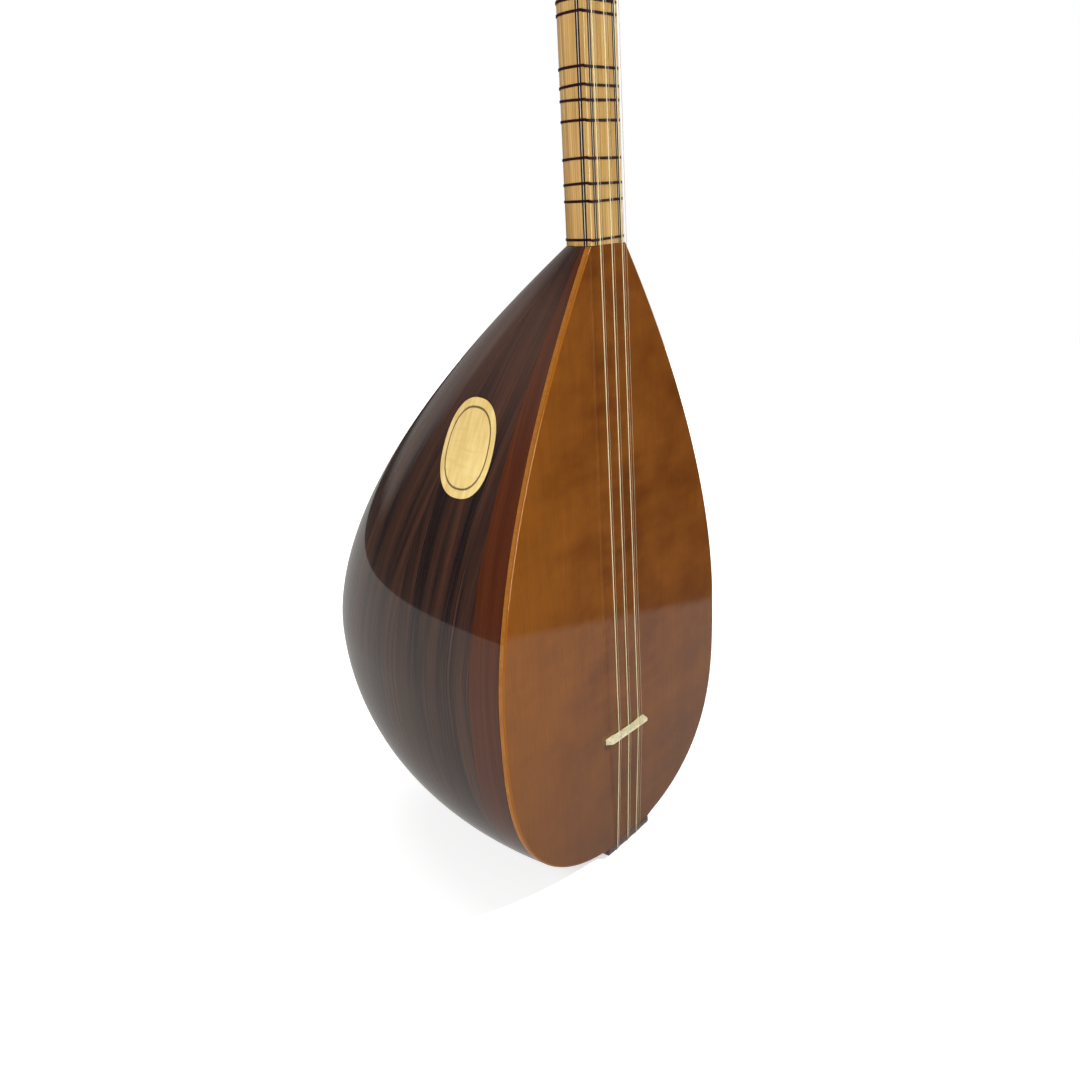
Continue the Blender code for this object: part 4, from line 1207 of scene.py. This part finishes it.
def make_nut():
    half = neck_half_width(NUT_Z) - FIT
    r = NUT_ROUNDING
    line = slotted_top([nut_x(k) for k in STRINGS], NUT_TOP, STRING_OVER_BOARD - FIT, half - r)
    arc = steps_between(0.0, QUARTER_TURN, SLOT_STEPS)
    corner = [(half - r + r * math.sin(a), NUT_TOP - r + r * math.cos(a)) for a in arc]
    left_corner = [(-x, height) for x, height in reversed(corner)]
    back = -(VENEER_BACK - FIT)
    outline = [(-half, back)] + left_corner[:-1] + line + corner[1:] + [(half, back)]
    layers = (
        (NUT_Z, NUT_LOW_BEVEL[1]), (NUT_Z + NUT_LOW_BEVEL[0], 0.0),
        (NECK_END_Z - NUT_HIGH_BEVEL[0], 0.0), (NECK_END_Z, NUT_HIGH_BEVEL[1]),
    )
    rings = []
    for z, shrink in layers:
        rings.append([(x, -(height - shrink if height > 0 else height), z) for x, height in outline])
    belongs(make_object("string_nut", skin(rings), FINISH["horn"]), "nut")


def fret_height(cents):
    return NUT_Z - SCALE_LENGTH * (1 - 2 ** (-cents / 1200))


def cord_path(z):
    """Even steps round the neck, as (point, outward normal), a little outside its surface."""
    count = FRET_POINTS
    section = [Vector((x, y, 0.0)) for x, y in mirrored(neck_section(z))]
    closed = section + [section[0]]
    lengths = running_lengths(closed)
    path = []
    segment = 0
    for i in range(count):
        target = lengths[-1] * i / count
        while lengths[segment + 1] < target:
            segment += 1
        share = (target - lengths[segment]) / (lengths[segment + 1] - lengths[segment])
        path.append(closed[segment].lerp(closed[segment + 1], share))
    outward = []
    for i in range(count):
        along = path[(i + 1) % count] - path[i - 1]
        outward.append(Vector((along.y, -along.x, 0.0)).normalized())
    return [(point + normal * FRET_FROM_NECK, normal) for point, normal in zip(path, outward)]


def knot(centre, outward, along, up):
    """A small overhand knot that lies on the neck's surface."""
    wide, high, deep = KNOT_STRETCH
    points = []
    for t in round_turn(KNOT_POINTS):
        across = math.sin(t) + 2 * math.sin(2 * t)
        upward = math.cos(t) - 2 * math.cos(2 * t)
        out = -math.sin(3 * t)
        offset = along * across * wide + up * upward * high + outward * out * deep
        points.append(centre + offset * KNOT_SIZE)
    return tube(points, frames_along(points, closed=True), KNOT_STRAND, KNOT_SIDES, closed=True)


def make_fret(number, cents):
    """A thin cord wound three times round the neck, with its knot on the bass edge of the fingerboard."""
    z = fret_height(cents)
    path = cord_path(z)
    tilt = rng.uniform(-FRET_TILT, FRET_TILT)
    side_tilt = rng.uniform(-FRET_SIDE_TILT, FRET_SIDE_TILT)
    up = Vector((0.0, 0.0, 1.0))

    def level(point):
        return z + tilt * point.x + side_tilt * max(point.y - NECK_SHOULDER, 0.0)

    on_shoulder = [i for i in range(FRET_POINTS) if path[i][0].x < 0 and path[i][0].y < KNOT_SHOULDER_Y]
    first = min(on_shoulder, key=lambda i: abs(path[i][0].y - KNOT_Y))
    centres = []
    frames = []
    for step in range(FRET_WINDINGS * FRET_POINTS + 1):
        point, outward = path[(first + step) % FRET_POINTS]
        rise = (step / FRET_POINTS - FRET_WINDINGS / 2) * FRET_WINDING_PITCH
        centres.append(Vector((point.x, point.y, level(point) + rise)))
        frames.append((outward, up))
    cord = tube(centres, frames, FRET_CORD_RADIUS, FRET_CORD_SIDES)
    tie, outward = path[first]
    centre = Vector((tie.x, tie.y, level(tie))) + outward * KNOT_OUT
    shape = joined([cord, knot(centre, outward, outward.cross(up), up)])
    fret = make_object("tied_fret_%02d" % number, shape, FINISH["fret"], sharp=80.0)
    belongs(fret, "fret_%02d" % number, "fret_%02d" % number)


def make_bridge():
    """Low arched bridge, thinner at the top, with a slot under each string."""
    half = BRIDGE_HALF_LENGTH
    top_half = BRIDGE_TOP_HALF_LENGTH
    arch = BRIDGE_LIFT + BRIDGE_ARCH
    foot = half - BRIDGE_FOOT
    line = slotted_top(STRING_BRIDGE_X, BRIDGE_TOP, BRIDGE_STRING_HEIGHT - FIT, top_half)
    bow = []
    for i in range(BRIDGE_ARCH_STEPS + 1):
        x = foot - 2 * foot * i / BRIDGE_ARCH_STEPS
        share = abs(x) / foot
        bow.append((x, BRIDGE_LIFT + BRIDGE_ARCH * (1 - share**BRIDGE_ARCH_POWER)))
    right_end = [
        (top_half + BRIDGE_SHOULDER[0], BRIDGE_TOP - BRIDGE_SHOULDER[1]),
        (half - BRIDGE_TOE[0], BRIDGE_TOE[1]),
        (half, BRIDGE_TOE_HEIGHT),
        (half, BRIDGE_LIFT),
    ]
    left_end = [(-x, height) for x, height in reversed(right_end)]
    outline = left_end + line + right_end + bow
    axes = Matrix.Rotation(BRIDGE_SLANT, 3, "Y")
    origin = Vector((0.0, 0.0, BRIDGE_Z))
    rings = []
    for side, shrink in BRIDGE_LAYERS:
        ring = []
        for x, height in outline:
            share = height / BRIDGE_TOP
            thick = BRIDGE_BASE_THICKNESS + (BRIDGE_TOP_THICKNESS - BRIDGE_BASE_THICKNESS) * share
            low = height if height <= arch + NUDGE else height - shrink
            inner = x - math.copysign(shrink, x) if abs(x) > top_half else x
            ring.append(origin + axes @ Vector((inner, -low, side * thick / 2)))
        rings.append(ring)
    belongs(make_object("slotted_bridge", skin(rings), FINISH["horn"]), "bridge", "bridge")


def half_ellipse(inset, z):
    """Half-round section of the tailpiece, with its flat side to the front."""
    front = -TAILPIECE_PROUD
    half = body_half_width(TAIL_CUT_Z) - inset
    deep = bowl_depth(TAIL_CUT_Z) - front - 2 * inset
    angles = steps_between(0.0, math.pi, TAILPIECE_POINTS)
    return [(half * math.cos(a), front + inset + deep * math.sin(a), z) for a in angles]


def hole_x(k):
    reach = body_half_width(TAIL_CUT_Z) - HOLE_ROW_INSET
    return -reach + 2 * reach * k / (len(STRING_TAIL_X) - 1)


def string_hole_cutter(k):
    x, y = Vector((hole_x(k), STRING_HOLE_Y))
    ends = (TAIL_BOTTOM - GAP, TAIL_BOTTOM + STRING_HOLE_DEPTH)
    rings = [circle(x, y, z, STRING_HOLE_RADIUS, HOLE_SIDES) for z in ends]
    return make_object("hole_cutter", skin(rings), None)


def make_tailpiece():
    top = TAIL_CUT_Z - FIT
    r = TAILPIECE_ROUNDING
    rings = [half_ellipse(TAILPIECE_BEVEL, top), half_ellipse(0.0, top - TAILPIECE_BEVEL)]
    for angle in steps_between(0.0, QUARTER_TURN, TAILPIECE_STEPS):
        rings.append(half_ellipse(r * (1 - math.cos(angle)), TAIL_BOTTOM + r * (1 - math.sin(angle))))
    tailpiece = make_object("tail_cap", skin(rings), FINISH["tail"], sharp=50.0)
    carve(tailpiece, [string_hole_cutter(k) for k in STRINGS])
    belongs(tailpiece, "tailpiece")


def head_point(x, y, z):
    return HEAD_ORIGIN + HEAD_AXES @ Vector((x, y, z))


def head_half_width(z):
    return HEAD_HALF_WIDTH + (HEAD_TOP_HALF_WIDTH - HEAD_HALF_WIDTH) * min(z / HEAD_LENGTH, 1.0)


def head_depth(z):
    return HEAD_DEPTH + (HEAD_TOP_DEPTH - HEAD_DEPTH) * min(z / HEAD_LENGTH, 1.0)


def head_ring(z, power, shrink=1.0, rise=0.0):
    deep = head_depth(z)
    section = mirrored(half_section(head_half_width(z) * shrink, deep * shrink, HEAD_CORNER * shrink, power))
    return [head_point(x, y + deep * (1 - shrink) / 2, z + rise) for x, y in section]


def make_head():
    """Solid head, blended from the neck's section into a squarer one that leans back, with a domed top."""
    foot_half = neck_half_width(NECK_END_Z) - FIT
    foot = mirrored(half_section(foot_half, NECK_DEPTH - HEAD_DROP, HEAD_CORNER))
    foot = [Vector((x, y + HEAD_DROP, HEAD_START_Z - GAP + FIT)) for x, y in foot]
    blend = head_ring(HEAD_BLEND, HEAD_FOOT_POWER)
    rings = []
    for share in steps_between(0.0, 1.0, HEAD_ROWS):
        eased = share * share * (3 - 2 * share)
        ring = []
        for low, high in zip(foot, blend):
            place = low.lerp(high, eased)
            place.z = low.z + (high.z - low.z) * share
            ring.append(place)
        rings.append(ring)
    for share in steps_between(0.0, 1.0, HEAD_ROWS)[1:]:
        z = HEAD_BLEND + (HEAD_LENGTH - HEAD_BLEND) * share
        rings.append(head_ring(z, HEAD_FOOT_POWER + (HEAD_TOP_POWER - HEAD_FOOT_POWER) * share))
    for angle in steps_between(0.0, QUARTER_TURN, CROWN_STEPS)[1:]:
        shrink = HEAD_CROWN_SHRINK + (1 - HEAD_CROWN_SHRINK) * math.cos(angle)
        rings.append(head_ring(HEAD_LENGTH, HEAD_TOP_POWER, shrink, HEAD_CROWN * math.sin(angle)))
    return make_object("head_block", skin(rings), FINISH["head"], sharp=50.0)


def peg_radius(distance):
    return PEG_RADIUS + PEG_TAPER * distance


def oval_ring(half_x, half_y, z):
    return [Vector((half_x * math.cos(a), half_y * math.sin(a), z)) for a in round_turn(ROUND_SIDES)]


def smooth_steps(values, steps):
    """Points on a smooth curve through the values, each a tuple of numbers."""
    curve = []
    last = len(values) - 1
    for i in range(last):
        before = values[max(i - 1, 0)]
        after = values[min(i + 2, last)]
        for j in range(steps):
            t = j / steps
            point = []
            for p0, p1, p2, p3 in zip(before, values[i], values[i + 1], after):
                bend = 2 * p0 - 5 * p1 + 4 * p2 - p3
                turn = 3 * (p1 - p2) + p3 - p0
                point.append(0.5 * (2 * p1 + (p2 - p0) * t + bend * t**2 + turn * t**3))
            curve.append(tuple(point))
    return curve + [values[last]]


def make_peg(number, origin, axes, through, spin):
    """Turns one friction peg and returns the cutter for its hole. Its own +Z runs out along its axis."""
    tip = PEG_TIP_RECESS - through
    radius = peg_radius(tip)
    blunt = radius - PEG_TIP_BEVEL
    rings = [oval_ring(blunt, blunt, tip), oval_ring(radius, radius, tip + PEG_TIP_BEVEL_LENGTH)]
    for distance in steps_between(0.0, PEG_EXPOSED, STEM_STEPS):
        rings.append(oval_ring(peg_radius(distance), peg_radius(distance), distance))
    for half_x, half_y, past in PEG_COLLAR + tuple(smooth_steps(PEG_GRIP, GRIP_STEPS)):
        rings.append(oval_ring(half_x, half_y, PEG_EXPOSED + past))
    rings.append(oval_ring(PEG_END[0], PEG_END[1], PEG_EXPOSED + PEG_GRIP[-1][2] + PEG_END[2]))
    turned = axes @ Matrix.Rotation(spin, 3, "Z")
    rings = [[origin + turned @ point for point in ring] for ring in rings]
    peg = make_object("tuner_%d" % number, skin(rings), FINISH["peg"], sharp=40.0)
    belongs(peg, "peg_%d" % number, "peg_%d" % number)
    hole = []
    for distance in (-through - HOLE_OVERRUN, HOLE_OVERRUN):
        wide = peg_radius(distance) + PEG_HOLE_CLEARANCE
        hole.append([origin + axes @ point for point in oval_ring(wide, wide, distance)])
    return make_object("peg_hole_cutter_%d" % number, skin(hole), None)


def make_head_and_pegs():
    head = make_head()
    front_axes = HEAD_AXES @ Matrix.Rotation(QUARTER_TURN, 3, "X")
    side_axes = HEAD_AXES @ Matrix.Rotation(-QUARTER_TURN, 3, "Y")
    cutters = []
    for i, z in enumerate(SIDE_PEG_Z):
        half = head_half_width(z)
        origin = head_point(-half, SIDE_PEG_DEPTH, z)
        spin = PEG_REST_TURN * (i + SIDE_PEG_START)
        cutters.append(make_peg(i + 1, origin, side_axes, 2 * half, spin))
    for i, z in enumerate(FRONT_PEG_Z):
        number = i + 1 + len(SIDE_PEG_Z)
        spin = PEG_REST_TURN * (i + FRONT_PEG_START)
        cutters.append(make_peg(number, head_point(0, 0, z), front_axes, head_depth(z), spin))
    carve(head, cutters)
    belongs(head, "head")


def coil(k):
    """Offsets round a peg as (angle, distance out from the head), from the outermost turn inwards."""
    pitch = 2 * string_radius(k) + TURN_SPACING
    count = int(PEG_TURNS * TURN_POINTS)
    return [(FULL_TURN * i / TURN_POINTS, COIL_START - pitch * i / TURN_POINTS) for i in range(count + 1)]


def turn_radius(k, out):
    return peg_radius(out) + string_radius(k) + FIT


def front_peg_route(k, index):
    z = FRONT_PEG_Z[index]
    points = []
    for angle, out in coil(k):
        turn = turn_radius(k, out)
        points.append(head_point(turn * math.cos(angle), -out, z + turn * math.sin(angle)))
    return points


def side_peg_route(k, index):
    """From the nut over the rounded edge of the head to a side peg, then round its stem towards the head."""
    clear = string_radius(k) + FIT
    z_end = SIDE_PEG_Z[index]
    half = head_half_width(z_end)
    bend = HEAD_CORNER + clear + GAP / 2
    bend_x = -half + HEAD_CORNER
    flat = max(0.0, nut_x(k) - bend_x)
    arc = bend * math.pi / 2
    end_y = SIDE_PEG_DEPTH - turn_radius(k, COIL_START)
    total = flat + arc + math.hypot(-half - COIL_START + half + clear, end_y - HEAD_CORNER)
    points = []
    if flat > HEAD_CORNER / 2:
        points.append(head_point(bend_x, HEAD_CORNER - bend, z_end * flat / total))
    for share in steps_between(0.0, 1.0, BEND_STEPS)[1:]:
        angle = math.pi / 2 * share
        x = bend_x - bend * math.sin(angle)
        y = HEAD_CORNER - bend * math.cos(angle)
        points.append(head_point(x, y, z_end * (flat + arc * share) / total))
    for angle, out in coil(k):
        turn = turn_radius(k, out)
        y = SIDE_PEG_DEPTH - turn * math.cos(angle)
        points.append(head_point(-half - out, y, z_end + turn * math.sin(angle)))
    return points


def string_route(k):
    """From the hole under the tailpiece over the bridge and the nut to the peg."""
    radius = string_radius(k)
    clear = FIT + radius
    x = hole_x(k)
    bend = TAILPIECE_ROUNDING + clear
    bend_y = -TAILPIECE_PROUD + TAILPIECE_ROUNDING
    bend_z = TAIL_BOTTOM + TAILPIECE_ROUNDING
    places = [
        (x, STRING_HOLE_Y, TAIL_BOTTOM + STRING_IN_HOLE),
        (x, STRING_HOLE_Y, TAIL_BOTTOM),
        (x, STRING_HOLE_Y - clear / 2, TAIL_BOTTOM - clear),
    ]
    for angle in steps_between(0.0, QUARTER_TURN, BEND_STEPS):
        places.append((STRING_TAIL_X[k], bend_y - bend * math.sin(angle), bend_z - bend * math.cos(angle)))
    places.append((STRING_TAIL_X[k], bend_y - bend, TAIL_CUT_Z))
    places.append((STRING_BRIDGE_X[k], -BRIDGE_STRING_HEIGHT - radius, BRIDGE_Z))
    places.append((nut_x(k), -STRING_OVER_BOARD - radius, NUT_Z))
    places.append((nut_x(k), -STRING_OVER_BOARD - radius, NECK_END_Z))
    points = [Vector(place) for place in places]
    if k < len(SIDE_PEG_Z):
        return points + side_peg_route(k, k)
    return points + front_peg_route(k, k - len(SIDE_PEG_Z))


def make_string(k):
    points = string_route(k)
    kind = "wound" if k in WOUND_STRINGS else "plain"
    sides = WOUND_SIDES if k in WOUND_STRINGS else PLAIN_SIDES
    shape = tube(points, frames_along(points), string_radius(k), sides)
    string = make_object("course_string_%d" % (k + 1), shape, FINISH[kind], sharp=75.0)
    write_attribute(string, "along", [value for value in running_lengths(points) for _ in range(sides)])
    belongs(string, "string_%d" % (k + 1))


def dress_blocks():
    """The blocks inside the bowl keep their own shape and get bare wood."""
    for node in ("neck_block", "tail_block"):
        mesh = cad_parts[node].data
        mesh.materials.clear()
        mesh.materials.append(FINISH["block"])


def add_lamp(name, place, size, power, in_gloss):
    light = bpy.data.lights.new(name, "AREA")
    light.shape = "DISK"
    light.size = size
    light.energy = power
    lamp = add_object(name, light)
    lamp.location = place
    lamp.rotation_euler = (AIM - place).to_track_quat("-Z", "Y").to_euler()
    lamp.visible_glossy = in_gloss


def floor_finish():
    """White floor that keeps the object's shadow; in gloss it ends where its lit part ends."""
    r = Recipe("floor_paper")
    r.tree.nodes.remove(r.shader)
    path = r.add("ShaderNodeLightPath").outputs
    place = r.add("ShaderNodeNewGeometry").outputs["Position"]
    paper = r.add("ShaderNodeBsdfDiffuse", {"Color": (FLOOR_GREY,) * 3}).outputs[0]
    distance = r.add("ShaderNodeVectorMath", {0: place}, operation="LENGTH").outputs["Value"]
    rise = r.span(distance, FLOOR_LIFT_START, FLOOR_LIFT_END, FLOOR_LIFT_NEAR, FLOOR_LIFT_FAR)
    lift = r.glow("ShaderNodeEmission", WHITE, rise)
    seen = r.add("ShaderNodeAddShader", {0: paper, 1: lift}).outputs[0]
    across = r.sum(r.times(r.part(place, 0), GLOSS_EDGE[0]), r.times(r.part(place, 1), GLOSS_EDGE[1]))
    edge_end = GLOSS_EDGE_DISTANCE + GLOSS_SOFTNESS
    reach = r.span(across, GLOSS_EDGE_DISTANCE, edge_end, GLOSS_FLOOR, GLOSS_DARK)
    mirror = r.glow("ShaderNodeEmission", GLOSS_FLOOR_COLOUR, reach)
    bounced = r.choose(path["Is Glossy Ray"], paper, mirror)
    r.feed(r.output.inputs["Surface"], r.choose(path["Is Camera Ray"], bounced, seen))
    return r.material


def make_floor():
    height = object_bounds()[0].z - FLOOR_DROP
    points = circle(0.0, 0.0, height, FLOOR_RADIUS, FLOOR_SIDES)
    mesh = bpy.data.meshes.new("studio_floor")
    mesh.from_pydata(points, [], [tuple(range(len(points)))])
    mesh.materials.append(floor_finish())
    add_object("studio_floor", mesh)


def soft_edges(low, high):
    """The rise before low and the fall after high."""
    return (low - GLOSS_SOFTNESS, low), (high, high + GLOSS_SOFTNESS)


def make_world():
    """White behind the object, soft grey as light, and a plain dark room with one pale side in gloss."""
    world = bpy.data.worlds.new("studio")
    bpy.context.scene.world = world
    world.use_nodes = True
    world.node_tree.nodes.clear()
    n = Nodes(world.node_tree)
    path = n.add("ShaderNodeLightPath").outputs
    toward = n.add("ShaderNodeTexCoord").outputs["Generated"]
    east, north, height = n.add("ShaderNodeSeparateXYZ", {0: toward}).outputs
    azimuth = n.math("ARCTAN2", east, north)
    pale = n.times(n.band(azimuth, GLOSS_SIDE_START, GLOSS_SIDE_END), n.span(height, *GLOSS_SIDE_RISE))
    room = n.span(height, *GLOSS_ROOM_RISE, GLOSS_ROOM_LOW, GLOSS_ROOM_HIGH)
    level = n.span(pale, 0.0, 1.0, room, GLOSS_SIDE)
    window = n.band(azimuth, *soft_edges(*GLOSS_WINDOW_AZIMUTH))
    window = n.times(window, n.band(height, *soft_edges(*GLOSS_WINDOW_HEIGHT)))
    level = n.sum(level, n.times(window, GLOSS_WINDOW))
    gloss = n.glow("ShaderNodeBackground", GLOSS_ROOM_COLOUR, level)
    soft = n.glow("ShaderNodeBackground", WHITE, AMBIENT)
    white = n.glow("ShaderNodeBackground", WHITE, 1.0)
    lit = n.choose(path["Is Glossy Ray"], soft, gloss)
    clear = n.math("MAXIMUM", path["Is Camera Ray"], path["Is Transmission Ray"])
    n.add("ShaderNodeOutputWorld", {"Surface": n.choose(clear, lit, white)})


def make_camera():
    level = math.cos(CAMERA_ELEVATION)
    forward = Vector((
        math.sin(CAMERA_AZIMUTH) * level, math.cos(CAMERA_AZIMUTH) * level, -math.sin(CAMERA_ELEVATION),
    ))
    right = forward.cross(Vector((0.0, 0.0, 1.0))).normalized()
    up = right.cross(forward)
    rolled_right = right * math.cos(CAMERA_ROLL) + up * math.sin(CAMERA_ROLL)
    rolled_up = up * math.cos(CAMERA_ROLL) - right * math.sin(CAMERA_ROLL)
    data = bpy.data.cameras.new("camera")
    data.sensor_width = SENSOR
    data.lens = SENSOR * FOCAL_PIXELS / IMAGE_SIZE
    data.clip_start = CAMERA_CLIP
    camera = add_object("camera", data)
    axes = Matrix((rolled_right, rolled_up, -forward)).transposed()
    camera.matrix_world = Matrix.Translation(CAMERA_PLACE) @ axes.to_4x4()
    bpy.context.scene.camera = camera


make_bowl()
make_soundboard()
make_neck()
make_nut()
for fret_number, fret_cents in enumerate(FRET_CENTS, 1):
    make_fret(fret_number, fret_cents)
make_bridge()
make_tailpiece()
make_head_and_pegs()
for string_number in STRINGS:
    make_string(string_number)
dress_blocks()

make_floor()
make_world()
add_lamp("key", KEY_PLACE, KEY_SIZE, KEY_POWER, True)
add_lamp("fill", FILL_PLACE, FILL_SIZE, FILL_POWER, False)
add_lamp("top", TOP_PLACE, TOP_SIZE, TOP_POWER, False)
make_camera()
bpy.context.scene.view_settings.view_transform = "Standard"
